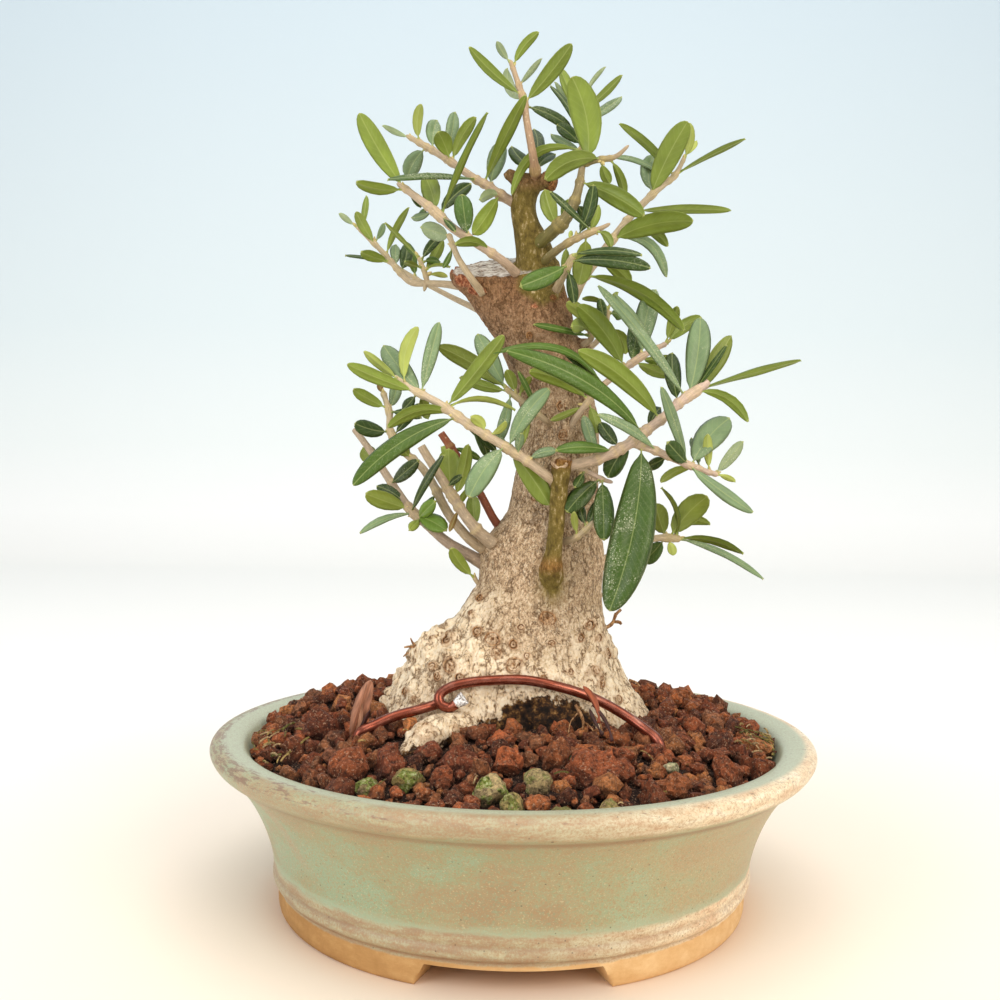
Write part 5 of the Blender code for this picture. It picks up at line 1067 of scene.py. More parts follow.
# The rings that round off the stub's end: share of its radius, rise, and hollow, how dark its hollow is
# painted, as painted shade.
STUB_END = [(0.86, 0.5, 0), (0.62, 0.75, 0.2), (0.5, 0.35, 0.9), (0.3, 0.15, 0.3), (0.05, 0.1, 0.2)]
# Where the stub's cut face shows, as across, up, radius.
STUB_FACE = (11.1, 111, 1.65)


def add_front_stub(shell):
    """The thick shoot that was pruned on the trunk's front: a round column with a scaly knot low down and
    a swollen end with its brown cut face."""
    path = even_rows(seen_rows(FRONT_STUB) * (1, 1, 1, 1.12), 0.4)
    columns = 28
    base = tube_points(path, columns)
    up = shown(base)[:, 1]
    knot = np.exp(-((up - 84.6) / 1.9) ** 2)
    head = fade(up, 108, 111.5)
    lumps = layered_noise(base, (1.5, 1.5, 2.2), 2, 13)
    relief = 1 + 0.05 * lumps + (0.16 * knot + 0.04 * head) * (0.8 + lumps)
    relief = relief.reshape(len(path), columns) + 0.03 * np.sin(5 * ring_angles(columns))
    surface = tube_points(path, columns, relief)
    end = path[-1, :3]
    way = unit(path[-1, :3] - path[-2, :3])
    rings = [end + (surface[-columns:] - end) * share + way * rise for share, rise, _hollow_shade in STUB_END]
    count = len(path) + len(rings)
    shell.add(np.vstack([surface, *rings]), tube_faces(count, columns))
    face_part = np.repeat(np.arange(count) >= len(path), columns).astype(float)
    shade = np.concatenate([0.55 * knot + 0.7 * head, np.full(len(rings) * columns, 0.65)])
    # inner is how dark the end's hollow is painted: painted shade.
    inner = np.concatenate([0 * up, np.repeat([row[2] for row in STUB_END], columns)])
    weights = (0.3 * face_part, 0, 0.35 * face_part, 1 - 0.8 * face_part)
    shell.weigh(weights, (np.maximum(shade, inner), inner, 0, 1))
    sight = unit(VIEWPOINT - end)
    across, height, radius = STUB_FACE
    face = seen((across, height, FRONT_STUB[-1][2]))[0] + sight * radius
    rng = np.random.default_rng(SEED)
    add_scar(shell, face, unit(sight + (0, 0, 0.1)), radius, 0.7, rng, STUB_PROFILE)


def add_root_hairs(shell):
    """Thin dead twigs and root fibres, each a round tube along its points."""
    for points in FIBRES:
        path = even_rows(np.column_stack([seen(points), [p[3] for p in points]]), 0.5)
        lumps = 1 + 0.25 * noise(np.repeat(path[:, :3], 7, axis=0), 0.7, 3).reshape(len(path), 7)
        shell.add(tube_points(path, 7, lumps), tube_faces(len(path), 7))
        shell.weigh((0.1, 0, 0, 0), (0.75, 0.2, 0, 1))


def make_pot(materials):
    """The bowl: its profile turned round the axis. Below the body the foot ring is cut into three feet:
    in each gap the ring's points are raised to the body, along sloping ends."""
    corners = np.array(POT_PROFILE)
    profile = np.vstack([corners[:1]] + [np.linspace(a, b, 4 if k < 43 else 3)[1:]
                                         for k, (a, b) in enumerate(zip(corners[:-1], corners[1:]))])
    soft = profile.copy()
    for _round in range(3):
        soft[1:-1] = 0.25 * soft[:-2] + 0.5 * soft[1:-1] + 0.25 * soft[2:]
    keep = (profile[:, 1] < 0.2) | (profile[:, 0] < 50)
    profile = np.where(keep[:, None], profile, soft)
    pitch = 360 / FOOT_COUNT
    gaps = np.array([-90 + pitch * k for k in range(FOOT_COUNT)])
    edges = [g + sign * e for g in gaps for sign in (-1, 1) for e in (18.4, 18.6, 20.9, 21.1)]
    angles = np.radians(np.unique(np.round(np.concatenate([np.linspace(-180, 178.5, 240), edges]) % 360, 3)))
    radius, height = profile[1:-1, 0][:, None], profile[1:-1, 1][:, None]
    degrees = np.degrees(angles)[None]
    away = np.min(np.abs((degrees[..., None] - gaps + 180) % 360 - 180), axis=-1)
    slope = np.clip((FOOT_GAP_AT_TABLE - away) / (FOOT_GAP_AT_TABLE - FOOT_GAP_AT_BODY), 0, 1) * FOOT_TOP
    z = np.where(height < FOOT_TOP, np.maximum(height, np.minimum(slope, FOOT_TOP)), height)
    wobble = 1 + 0.0012 * np.sin(2 * angles + 0.6) + 0.0008 * np.sin(5 * angles)
    x, y = radius * np.cos(angles) * wobble, radius * np.sin(angles) * wobble
    rings = np.stack([x, y, z + 0 * x], axis=-1).reshape(-1, 3)
    rows, columns = len(profile) - 2, len(angles)
    points = np.vstack([rings, [(0, 0, profile[0, 1]), (0, 0, profile[-1, 1])]])
    faces = grid_faces(rows, columns).tolist()
    middle, top = rows * columns, (rows - 1) * columns
    for c in range(columns):
        following = (c + 1) % columns
        faces += [(following, c, middle), (top + c, top + following, middle + 1)]
    item = new_object("pot_fine", points, faces, materials)
    drill(item)
    return item


def drill(item):
    """Cut the two drain holes through the floor of the pot."""
    for side in (-1, 1):
        rows = np.array([(side * DRAIN_OFFSET, 0, z, DRAIN_RADIUS) for z in (1, 14)])
        hole = item.modifiers.new("Drain", "BOOLEAN")
        hole.operation = "DIFFERENCE"
        hole.solver = "EXACT"
        hole.object = new_object("drain", tube_points(rows, 48), tube_faces(2, 48), [])
    mesh = applied_mesh(item)
    for hole in item.modifiers:
        bpy.data.objects.remove(hole.object, do_unlink=True)
    item.modifiers.clear()
    item.data = mesh


def soil_height(x, y):
    """The mound of soil over the pot's mouth: a dome that falls by a power of the radius, with its heaps."""
    share = np.minimum(1, np.hypot(x, y) / MOUTH_RADIUS)
    height = SOIL_EDGE_HEIGHT + SOIL_MOUND * (1 - share ** SOIL_FALL)
    for heap_x, heap_y, rise, spread in SOIL_HEAPS:
        height = height + rise * np.exp(-((x - heap_x) ** 2 + (y - heap_y) ** 2) / (2 * spread ** 2))
    return height


def inside_trunk(x, y, z):
    """How deep a point is inside the trunk's oval at its height: below 1 is inside."""
    heights, *sizes = np.array(TRUNK_SECTIONS).T
    left, right, depth, back = (np.interp(z - LEVEL, heights, size) for size in sizes)
    return np.hypot((x - (left + right) / 2) / ((right - left) / 2), (y - back) / depth)


def scattered(count_tries, spacing, reach, rng):
    """Random spots in a circle that keep their spacing: each try is kept if no kept spot is nearer."""
    kept = np.empty((0, 2))
    for _try in range(count_tries):
        spot = rng.uniform(-reach, reach, 2)
        if np.hypot(*spot) < reach and (len(kept) == 0 or np.min(np.hypot(*(kept - spot).T)) > spacing):
            kept = np.vstack([kept, spot])
    return kept


SOIL_TONES = ["#773e22", "#864727", "#69351e", "#8e502b", "#704127", "#7c4c2e", "#592e19", "#996036"]
# Pebbles that stand out, as x, y on the mound in millimetres, size, tone and how mossy they are.
ODD_PEBBLES = [
    (-5.6, -56, 3.1, "#b09a6c", 1), (-0.6, -60.6, 2.5, "#a8945c", 0.8), (4.6, -52.4, 2.6, "#a08c60", 0.5),
    (-22.4, -50, 2.9, "#a08a50", 0.9), (18.6, -60.6, 2.6, "#a08a58", 0.7), (-31, -50.6, 2.3, "#746440", 0.9),
    (62, -16, 2.8, "#7c7466", 0.2), (34, -41, 1.5, "#a39c7c", 0.3), (9, -63.2, 2.4, "#7c7046", 0.3),
    (47, -52, 2, "#6c624c", 0.2), (12, -41, 1.6, "#6a6c4c", 0.7), (-2, -44, 1.5, "#64664c", 0.5),
]
BIG_LUMPS = [
    (16.5, -47, 4.3), (23, -45.4, 3.3), (33, -49, 3.4), (-36, -42, 4), (-13, -43.5, 4), (-46, -16, 4),
    (39, -55.5, 3.8), (28.5, -55, 3.6), (47, -37, 3.8), (55, -30, 3.8), (-2, -46.5, 3.4), (8.6, -43, 3.1),
    (-27, -43, 3.5), (-52, -26, 3.6),
]


# The soil's side below its edge: radius, height.
SOIL_SIDE = [(65, 34), (60.4, 29), (56.6, 22), (54.2, 12), (50.6, 9.6)]
# The three sorts of granule: tries, spacing, smallest and largest size.
GRANULE_SORTS = [(5000, 4.3, 1.8, 2.8), (9000, 3, 1.1, 1.8), (8000, 2.2, 0.6, 1)]


def lump_form(splits):
    """Unit points and triangles of a twenty-faced ball, split a number of times."""
    shape = bmesh.new()
    bmesh.ops.create_icosphere(shape, subdivisions=splits, radius=1)
    points = np.array([vertex.co[:] for vertex in shape.verts])
    faces = [tuple(vertex.index for vertex in face.verts) for face in shape.faces]
    shape.free()
    return points, faces


def add_lump(shell, form, spot, size, tone, moss, rough, cut, rng):
    """A granule: a ball cut back by random planes, at least to cut of its radius, so that it has flat
    sides and corners, then roughened by noise and stretched."""
    points, faces = form
    ways = unit(rng.normal(size=(9, 3)))
    lean = points @ ways.T
    reach = np.min(np.where(lean > 0.05, rng.uniform(cut, 0.9, 9) / np.maximum(lean, 0.05), 9), axis=1)
    shape = points * np.minimum(1, reach)[:, None]
    for strength, grain in ((rough, 0.6), (0.6 * rough, 0.25)):
        shape = shape * (1 + strength * noise(shape, grain, int(rng.integers(1, 9999))))[:, None]
    shape = shape * rng.uniform(0.95, 1.45, 3)
    turn = np.array(Matrix.Rotation(rng.uniform(0, 6.28), 3, Vector(rng.normal(size=3))))
    placed = shape @ turn.T * size + spot
    # Each face is painted darker the lower it sits on the granule: painted shade on its underside.
    height = (placed[np.array(faces)].mean(axis=1)[:, 2:] - spot[2]) / size
    colours = paint(tone) * rng.uniform(0.7, 1.35) * (0.22 + 1.1 * fade(height, -0.7, 0.6))
    colours[:, 3] = moss
    shell.add(placed, faces, colours)


def make_soil(materials):
    """The soil: a dark body that fills the pot, its darkness painted shade for the gaps, and granules heaped on
    it in three sizes.
    """
    rng = np.random.default_rng(SEED)
    shell = Shell()
    rings = np.concatenate([[0.4], np.linspace(2, 65.2, 46)])
    angle = ring_angles(144)
    radius, turn = np.meshgrid(rings, angle, indexing="ij")
    flat = np.stack([radius * np.cos(turn), radius * np.sin(turn)], axis=-1).reshape(-1, 2)
    z = soil_height(flat[:, 0], flat[:, 1]) - 2.6
    z += 0.9 * layered_noise(np.column_stack([flat, np.zeros(len(flat))]), 4.5, 2, 3)
    side = [np.column_stack([r * np.cos(angle), r * np.sin(angle), np.full(144, h)]) for r, h in SOIL_SIDE]
    points = np.vstack([np.column_stack([flat, z]), *side])
    faces = [tuple(face[::-1]) for face in tube_faces(len(rings) + len(side), 144)]
    # The body under the granules is painted near black-brown: painted shade for the deep gaps between them.
    shell.add(points, faces, paint("#301a10") * (1, 1, 1, 0))
    named = ODD_PEBBLES + [(*lump, SOIL_TONES[int(rng.integers(0, 4))], 0) for lump in BIG_LUMPS]
    placed = list(named)
    loose = bpy.context.scene.bonsai_soil.granule_spacing
    for tries, spacing, low, high in GRANULE_SORTS:
        for spot in scattered(tries, spacing * loose, MOUTH_RADIUS - 1.4 - low * 0.6, rng):
            size = rng.uniform(low, high)
            if all(np.hypot(spot[0] - p[0], spot[1] - p[1]) > (size + p[2]) * 0.8 for p in named):
                placed.append((*spot, size, SOIL_TONES[int(rng.integers(0, len(SOIL_TONES)))], 0))
    coarse, fine = lump_form(2), lump_form(3)
    for index, (x, y, size, tone, moss) in enumerate(placed):
        z = float(soil_height(x, y)) - 1.9 + size * 0.3 + rng.uniform(-0.9, 0.9)
        root = math.hypot((x + 20.5) * 0.85, y + 30) < 7.4 and index >= len(named)
        past_rim = math.hypot(x, y) + size * 0.85 > MOUTH_RADIUS - 0.5
        if inside_trunk(x, y, z) < 1.02 or root or past_rim:
            continue
        form = fine if index < len(named) else coarse
        rough, cut = (0.16, 0.66) if index < len(ODD_PEBBLES) else (0.3, 0.48)
        add_lump(shell, form, np.array([x, y, z]), size, tone, moss, rough, cut, rng)
    add_straw(shell)
    return shell.make("soil_fine", materials, smooth=False)


def add_straw(shell):
    """Bits of dry straw and moss fibre between the granules at the pot's edge, as thin bent tubes."""
    rng = np.random.default_rng(SEED + 4)
    for centre_x, centre_y, count, spread in STRAW:
        for _bit in range(count):
            start = np.array([centre_x, centre_y, 0]) + rng.normal(0, spread, 3)
            way = rng.uniform(0, 2 * np.pi)
            length = rng.uniform(1.5, 4.5)
            t = np.linspace(0, 1, 6)
            x = start[0] + length * t * np.cos(way)
            y = start[1] + length * t * np.sin(way) + rng.uniform(-1, 1) * t * (1 - t) * 2
            limit = np.minimum(1, (MOUTH_RADIUS - 1.6) / np.hypot(x, y))
            x, y = x * limit, y * limit
            z = soil_height(x, y) + 0.4 + rng.uniform(0, 1.6) + 1.2 * t * (1 - t)
            surface = tube_points(np.column_stack([x, y, z, np.full(6, rng.uniform(0.12, 0.26))]), 5)
            tone = paint(["#b79a5c", "#8f7a3f", "#6e6a30", "#c7a878"][int(rng.integers(0, 4))])
            shell.add(surface, tube_faces(6, 5), tone * (1, 1, 1, 0))


def make_wire(materials):
    """The bent wire: a round tube along its smooth route. Its hooked end was nipped off, so it is
    squeezed to a bright wedge."""
    rows = np.vstack([seen(WIRE_OVER), WIRE_UNDER, seen(WIRE_BACK)])
    path = even_rows(np.column_stack([rows, np.full(len(rows), WIRE_RADIUS)]), 0.7)
    columns = 20
    surface = tube_points(path, columns)
    faces = tube_faces(len(path), columns)
    places = tube_places(np.arange(len(path)) * 0.7, columns)
    shell = Shell()
    shell.add(surface, faces, places=places, slot=[0] * (len(faces) - 2) + [1, 1])
    add_nipped_end(shell, path, surface[:columns], columns)
    return shell.make("hold_down_wire_fine", materials)


# The rings of the nipped end: rise, how flat, how wide.
NIPPED_RINGS = [(0.15, 1, 1), (0.8, 0.95, 1.12), (1.6, 0.62, 1.3), (2.3, 0.2, 1.36)]


def add_nipped_end(shell, path, ring, columns):
    """The wedge on the wire's first ring: each next ring is flatter one way and wider the other, and
    torn at the lip."""
    way = unit(path[0, :3] - path[1, :3])
    sight = unit(VIEWPOINT - path[0, :3])
    aside = unit(np.cross(way, sight))
    facing = np.cross(aside, way)
    offset = ring - path[0, :3]
    rings = [ring]
    for step, (rise, flat, wide) in enumerate(NIPPED_RINGS):
        spread = (offset @ aside)[:, None] * aside * wide + (offset @ facing)[:, None] * facing * flat
        torn = 0.16 * np.sin(np.arange(columns) * 2.4 + step)[:, None] * way
        rings.append(path[0, :3] + spread + way * rise + torn * (step > 1) - facing * 0.1 * step)
    shell.add(np.vstack(rings[::-1]), tube_faces(len(rings), columns), slot=1)


def make_dry_leaf(name, materials):
    """A fallen leaf, withered and standing in the soil: a folded blade with narrow splinters beside it."""
    rng = np.random.default_rng(SEED)
    shell = Shell()
    for *ends, width, bow, turn, tone in DRY_LEAVES[name]:
        base, tip = seen(np.reshape(ends, (2, 3)))
        add_leaf(shell, base, tip, width, bow, turn, tone, rng, fold=0.95)
    return shell.make(name + "_fine", materials)


# Finishes


def leaf_finish():
    """Living olive leaf: a leathery skin with a dull wax sheen. A fine pale midrib shows, and tiny white
    scales lie over it like dust, on some leaves in thick patches."""
    material, add, spot = new_material("olive_leaf")
    settings = bpy.context.scene.bonsai_leaves
    tone, dust = add("tone", out="Color Alpha")
    along, across, edge = add("split", add("place", out="Vector"), out="X Y Z")
    aside = add("size", across)
    # The midrib shows 0.3 mm wide, and very faint side veins leave it every 2 mm.
    midrib = add("step", aside, 0.05, 0.2, 0.3, 0)
    lean = add("minus", along, add("times", aside, 1.3))
    vein = add("step", add("wave", add("times", lean, math.pi)), 0.6, 1, 0, 0.05)
    # The margin is painted pale: partly its own colour, partly painted light shining through the thin edge.
    margin = add("step", edge, 0.92, 0.99, 0, 0.42)
    mottle = add("noise", spot, 0.22, 2)
    body = add("tint", 1, tone, add("range", mottle, 0.3, 0.7, 0.88, 1.1))
    colour = add("blend", add("most", add("most", midrib, vein), margin), body, "#b4bd78")
    # The scales are 0.1 mm discs; they are drawn 0.25 mm wide so that they show.
    dots = add("step", add("cells", spot, 2.1, out="Distance"), 0.16, 0.36, 0.9, 0)
    haze = add("step", add("noise", spot, 1.3, 4, 0.7), 0.42, 0.68, 0, 0.3)
    patch = add("step", add("noise", spot, 0.13, 4, 0.62), 0.45, 0.62, 0.1, 1)
    bloom = add("times", add("most", dots, haze), patch)
    bloom = add("times", bloom, add("times", dust, settings.scale_strength))
    colour = add("blend", bloom, colour, "#d3d4b4")
    return dress(material, {
        "Base Color": colour,
        "Roughness": add("range", bloom, 0, 1, 0.34, 0.6),
        "Specular IOR Level": 0.24,
        "Normal": add("bump", 0.25, 0.0004, None, add("plus", add("times", vein, 2), mottle)),
    })


def young_bark_finish():
    """Bark of the year's twigs: smooth and dull, pinkish beige to olive, with fine lengthwise streaks and
    small pale corky dots."""
    material, add, spot = new_material("young_bark")
    streaks = add("noise", add("stretch", add("place", out="Vector"), (0.3, 1.6, 1)), 1.9, 4, 0.65)
    body = add("tint", 1, add("tone", out="Color"), add("range", streaks, 0.34, 0.66, 0.76, 1.2))
    dots = add("step", add("cells", spot, 0.7, out="Distance"), 0.1, 0.22, 0.55, 0)
    return dress(material, {
        "Base Color": add("blend", dots, body, "#cdb996"),
        "Roughness": 0.62,
        "Normal": add("bump", 0.35, 0.0002, None, streaks),
    })


def squiggles(add, vector, scale, low, thick, soft):
    """Wandering cracks where noise crosses its middle value. A coarser noise makes them swell to their
    full thickness, and shuts them where it is below low."""
    away = add("size", add("minus", add("noise", vector, scale, 3, 0.55), 0.5))
    swell = add("range", add("noise", vector, scale * 0.55, 3, 0.6), low, low + 0.22, 0, thick)
    return add("step", add("minus", swell, away), 0, soft)


def old_bark_finish():
    """Bark of the old trunk: cream and corky on the root base with thin dark cracks, beige-brown and
    finely speckled above, olive where it is young, pale and grained where it was sawn."""
    material, add, spot = new_material("old_bark")
    settings = bpy.context.scene.bonsai_trunk
    weights, young = add("bark", out="Color Alpha")
    creamy, damp, sawn = add("channels", weights, out="Red Green Blue")
    brown, crack, peeling = add("channels", add("marks", out="Color"), out="Red Green Blue")
    tall = add("stretch", spot, (1, 1, 0.62))
    height = add("split", spot, out="Z")
    # The bark's grain is about 0.5 mm, with 0.3 mm specks, and its wandering cracks are 0.4 mm wide.
    fine = add("noise", tall, 1.7, 4, 0.7)
    specks = add("noise", spot, 2.4, 2, 0.6)
    lines = squiggles(add, tall, 0.6, 0.4, 0.07, 0.03)
    halo = squiggles(add, tall, 0.6, 0.32, 0.16, 0.1)
    broad = add("noise", spot, 0.09, 3)
    upper = add("ramp", fine, stops=(
        (0.34, "#86684b"), (0.44, "#b39370"), (0.53, "#d0b28e"), (0.65, "#ecd6b6")))
    upper = add("blend", add("step", broad, 0.45, 0.62, 0, 0.3), upper, "#a38c68")
    # From 108 mm up to 156 mm the bark is painted darker: painted shade under the leaves.
    upper = add("tint", add("step", height, 108, 156, 0, 0.95), upper, "#a98359")
    upper = coats(add, upper, (add("step", specks, 0.55, 0.62, 0, 0.6), "#553b22"),
                  (add("times", lines, 0.55), "#4a321c"))
    cork = add("ramp", fine, stops=(
        (0.31, "#e8c698"), (0.39, "#f6deb4"), (0.46, settings.cream), (0.6, "#fff0d4")))
    dirt = add("noise", spot, 0.3, 5, 0.7)
    # Where crack is set the cork is tan: its real cracks, and painted shade in the hollows of scars.
    cork = coats(add, cork, (add("step", dirt, 0.58, 0.72, 0, 0.45), "#c39a62"),
                 (add("times", halo, 0.34), "#c79a64"), (add("times", crack, 0.26), "#a77f48"),
                 (add("times", lines, add("range", fine, 0.4, 0.6, 0.9, 0.4)), "#62401e"),
                 (add("step", specks, 0.64, 0.7, 0, 0.4), "#7c5428"))
    olive = add("noise", add("stretch", spot, (1, 1, 0.5)), 0.8, 5, 0.7)
    olive = add("ramp", olive, stops=(
        (0.36, "#5a4a1e"), (0.48, "#76642c"), (0.58, "#88743a"), (0.7, "#cdb68a")))
    wood = add("noise", add("stretch", spot, (0.35, 1, 1)), 0.9, 5, 0.7)
    wood = add("ramp", wood, stops=((0.36, "#5d4c40"), (0.45, "#b3a494"), (0.55, "#e2dbd0"), (0.7, "#f6f1e8")))
    ring = add("ramp", fine, stops=((0.36, "#5c3214"), (0.5, "#96602f"), (0.64, "#cc965a")))
    peel = add("ramp", fine, stops=((0.36, "#5c2c18"), (0.5, "#985536"), (0.64, "#cf946a")))
    soaked = add("plus", damp, add("range", dirt, 0.34, 0.66, 0.45, -0.45))
    soaked = add("plus", soaked, add("range", fine, 0.34, 0.66, 0.16, -0.16))
    wet = add("plus", add("noise", spot, 0.55, 5, 0.72), add("times", damp, -0.1))
    wet = add("ramp", wet, stops=((0.3, "#170e07"), (0.42, "#372313"), (0.5, "#6a4824"), (0.6, "#b48c54")))
    # Near black where crack meets brown: the real cracks in brown bark, and painted shade in the hollows of
    # scars.
    colour = coats(add, upper, (creamy, cork), (young, olive), (sawn, wood), (brown, ring),
                   (add("step", add("times", crack, brown), 0.35, 0.9, 0, 0.9), "#34200f"), (peeling, peel),
                   (add("times", add("step", soaked, 0.22, 0.52), add("step", damp, 0, 0.12)), wet))
    relief = add("minus", add("plus", fine, add("times", dirt, 0.6)), add("times", lines, 0.4))
    return dress(material, {
        "Base Color": colour,
        "Roughness": 0.85,
        "Specular IOR Level": 0.3,
        "Normal": add("bump", 0.7, 0.0009, None, relief),
    })


def cloud(add, across, height, centre, size):
    """A soft round cloud on the wall, as wide and high as size: one less the squared distance."""
    dx = add("over", add("minus", across, centre[0]), size[0])
    dz = add("over", add("minus", height, centre[1]), size[1])
    return add("step", add("plus", add("times", dx, dx), add("times", dz, dz)), 0, 1, 1, 0)


def glaze_finish():
    """Stoneware with a satin celadon glaze: sage and turquoise on the left, running to buff on the right,
    where it is also painted lighter as painted light from that side, finely grained, thin and tan on the
    edges, with bare buff clay on the foot, likewise painted lighter on the right."""
    material, add, spot = new_material("celadon_glaze")
    settings = bpy.context.scene.bonsai_pot
    across, deep, height = add("split", spot, out="X Y Z")
    reach = add("reach", add("stretch", spot, (1, 1, 0)), out="Value")
    # Towards the right the glaze is painted lighter and warmer: partly its own buff, partly painted light from
    # the right.
    lit_from_right = add("step", across, -4, 54)
    clouds = add("noise", add("stretch", spot, (1, 1, 1.6)), 0.055, 4, 0.55)
    lean = add("plus", clouds, add("range", across, -60, 62, -0.03, 0.03))
    lean = add("minus", lean, add("times", cloud(add, across, height, (-40, 19), (17, 12)), 0.13))
    lean = add("plus", lean, add("times", cloud(add, across, height, (-10, 18), (16, 10)), 0.12))
    body = add("ramp", lean, stops=(
        (0.36, "#96ac8b"), (0.45, settings.glaze), (0.53, "#a39a76"), (0.64, "#a08b69")))
    # Where the glaze ran, a thin pinkish streak falls down the left of the wall.
    slant = add("plus", add("times", across, 0.83), add("times", height, 0.55))
    off = add("size", add("plus", add("plus", slant, clouds), 26.3))
    drip = add("times", add("step", off, 0.2, 1.8, 0.5, 0), add("step", height, 17, 22))
    # The grain of the glaze is about 0.4 mm: buff and green grains, with a few pale ones.
    grains = add("noise", spot, 2, 4, 0.75)
    blotches = add("noise", spot, 0.75, 4, 0.75)
    body = coats(add, body, (add("times", lit_from_right, 0.45), "#cab78c"), (drip, "#b39478"),
                 (add("step", blotches, 0.52, 0.62, 0, 0.36), "#ac9069"),
                 (add("step", blotches, 0.46, 0.36, 0, 0.42), "#94aa8c"),
                 (add("step", grains, 0.51, 0.57, 0, 0.66), "#a68962"),
                 (add("step", grains, 0.46, 0.4, 0, 0.6), "#879a78"),
                 (add("step", add("noise", spot, 2.6, 2), 0.6, 0.7, 0, 0.45), "#d4c8a0"))
    # Along the foot band and the lip the glaze thinned to buff and cream, in soft level rows.
    rows = add("noise", add("stretch", spot, (0.26, 0.26, 1.3)), 0.5, 4, 0.62)
    ragged = add("plus", height, add("times", add("minus", rows, 0.5), 3))
    shaded = add("ramp", rows, stops=(
        (0.36, "#a0876a"), (0.46, "#a99575"), (0.54, "#aea484"), (0.66, "#bcb28e")))
    lit = add("ramp", rows, stops=(
        (0.36, "#e6c29c"), (0.46, "#f1d6b2"), (0.54, "#f6e1be"), (0.66, "#fbeed4")))
    # The tint runs from a shaded copy on the left to a lit copy on the right: painted light from the right.
    tint = add("blend", lit_from_right, shaded, lit)
    tint = coats(add, tint, (add("step", blotches, 0.5, 0.6, 0, 0.38), "#a9825f"),
                 (add("step", grains, 0.5, 0.58, 0, 0.5), "#a87f58"),
                 (add("step", grains, 0.46, 0.36, 0, 0.35), "#c9c3a2"))
    band = add("step", ragged, 11.7, 13.1, 0.95, 0)
    lip = add("times", add("step", ragged, 36, 37.6, 0, 0.85), add("step", across, -66, -5, 0.25, 1))
    body = coats(add, body, (add("step", ragged, 15.2, 12.8, 0, 0.55), "#a9b99c"),
                 (add("most", band, lip), tint))
    # Soft brown lines lie in the groove under the lip as a painted shadow of the lip, in the foot band's groove
    # as painted shade, and above the clay, where they are partly the glaze's brown edge and partly painted
    # shade.
    for level, width, left, right in ((34.8, 1.3, 0.3, 0.66), (9.9, 0.7, 0.4, 0.25), (6.7, 0.9, 0.8, 0.45)):
        off = add("size", add("minus", add("plus", height, add("times", rows, 0.8)), level + 0.4))
        line = add("times", add("step", off, 0, width, 1, 0), add("range", across, -55, 10, left, right))
        body = add("blend", line, body, "#8f6a4c")
    # The lip's sloping top keeps a thick pool of pale turquoise.
    pool = add("times", add("step", add("plus", reach, rows), 71.8, 73.6, 1, 0), add("step", height, 35, 37))
    thick = add("ramp", grains, stops=((0.34, "#a59e84"), (0.46, "#aeb096"), (0.62, "#b6bfa4")))
    body = add("blend", pool, body, thick)
    # Along the lip's edge iron burned through in broken purple-brown streaks, most of all on the left.
    rim = add("times", add("step", reach, 70.6, 71.8), add("step", height, 38.6, 40))
    around = add("times", add("angle", deep, across), 22)
    burnt = add("noise", add("join", around, add("times", height, 1.5), reach), 0.9, 5, 0.7)
    burnt = add("plus", burnt, add("range", across, -66, -16, -0.03, 0.12))
    body = add("blend", add("times", rim, add("step", burnt, 0.53, 0.43, 0, 0.75)), body, "#80604e")
    for scale, radius, strength in ((0.42, 0.1, 0.6), (0.11, 0.045, 0.75)):
        away = add("cells", spot, scale, out="Distance")
        body = add("blend", add("step", away, radius * 0.5, radius, strength, 0), body, "#4a3a2a")
    fine_noise = add("noise", add("stretch", spot, (0.6, 0.6, 1.1)), 0.22, 6, 0.68)
    # The bare clay is darker on the left and lighter on the right: painted light from the right.
    clay = add("blend", add("step", across, -45, 35),
               add("ramp", fine_noise, stops=((0.3, "#a37843"), (0.5, "#b3864e"), (0.7, "#c3985e"))),
               add("ramp", fine_noise, stops=((0.3, "#d4a66c"), (0.5, "#e0b780"), (0.7, "#ecca96"))))
    bare = add("step", add("plus", height, add("times", fine_noise, 1.6)), 6.3, 6.9, 1, 0)
    skin = add("plus", grains, add("times", rows, 0.6))
    return dress(material, {
        "Base Color": add("blend", bare, body, clay),
        "Roughness": add("range", bare, 0, 1, 0.4, 0.85),
        "Normal": add("bump", 0.25, 0.0004, None, skin),
    })


def granule_finish():
    """Fired volcanic soil granules: porous and matt, red-brown, painted dark in their pits as painted shade and
    lighter on their raised parts as painted light, with pale specks that are painted highlights.
    """
    material, add, spot = new_material("volcanic_granules")
    tone, moss = add("tone", out="Color Alpha")
    pits = add("noise", spot, 0.8, 6, 0.76)
    fine_noise = add("noise", spot, 1.9, 3, 0.7)
    # The pits are painted dark and the raised parts light: painted shade and painted light.
    body = add("tint", 1, tone, add("range", pits, 0.36, 0.62, 0.22, 1.85))
    # A faint film of algae, and flecks of moss on the few pebbles whose alpha says so.
    tuft = add("ramp", add("noise", spot, 1.1, 4, 0.7),
               stops=((0.38, "#3c4016"), (0.46, "#6f7c2a"), (0.54, "#93a048"), (0.64, "#cdd49c")))
    mossy = add("times", moss, add("step", add("noise", spot, 0.34, 4), 0.48, 0.55))
    body = add("blend", mossy, body, tuft)
    return dress(material, {
        # The pale specks are painted highlights.
        "Base Color": add("blend", add("step", fine_noise, 0.56, 0.66, 0, 0.6), body, "#dcb08c"),
        "Roughness": 0.8,
        "Specular IOR Level": 0.35,
        "Normal": add("bump", 1, 0.0018, None, add("plus", pits, add("times", fine_noise, 0.25))),
    })


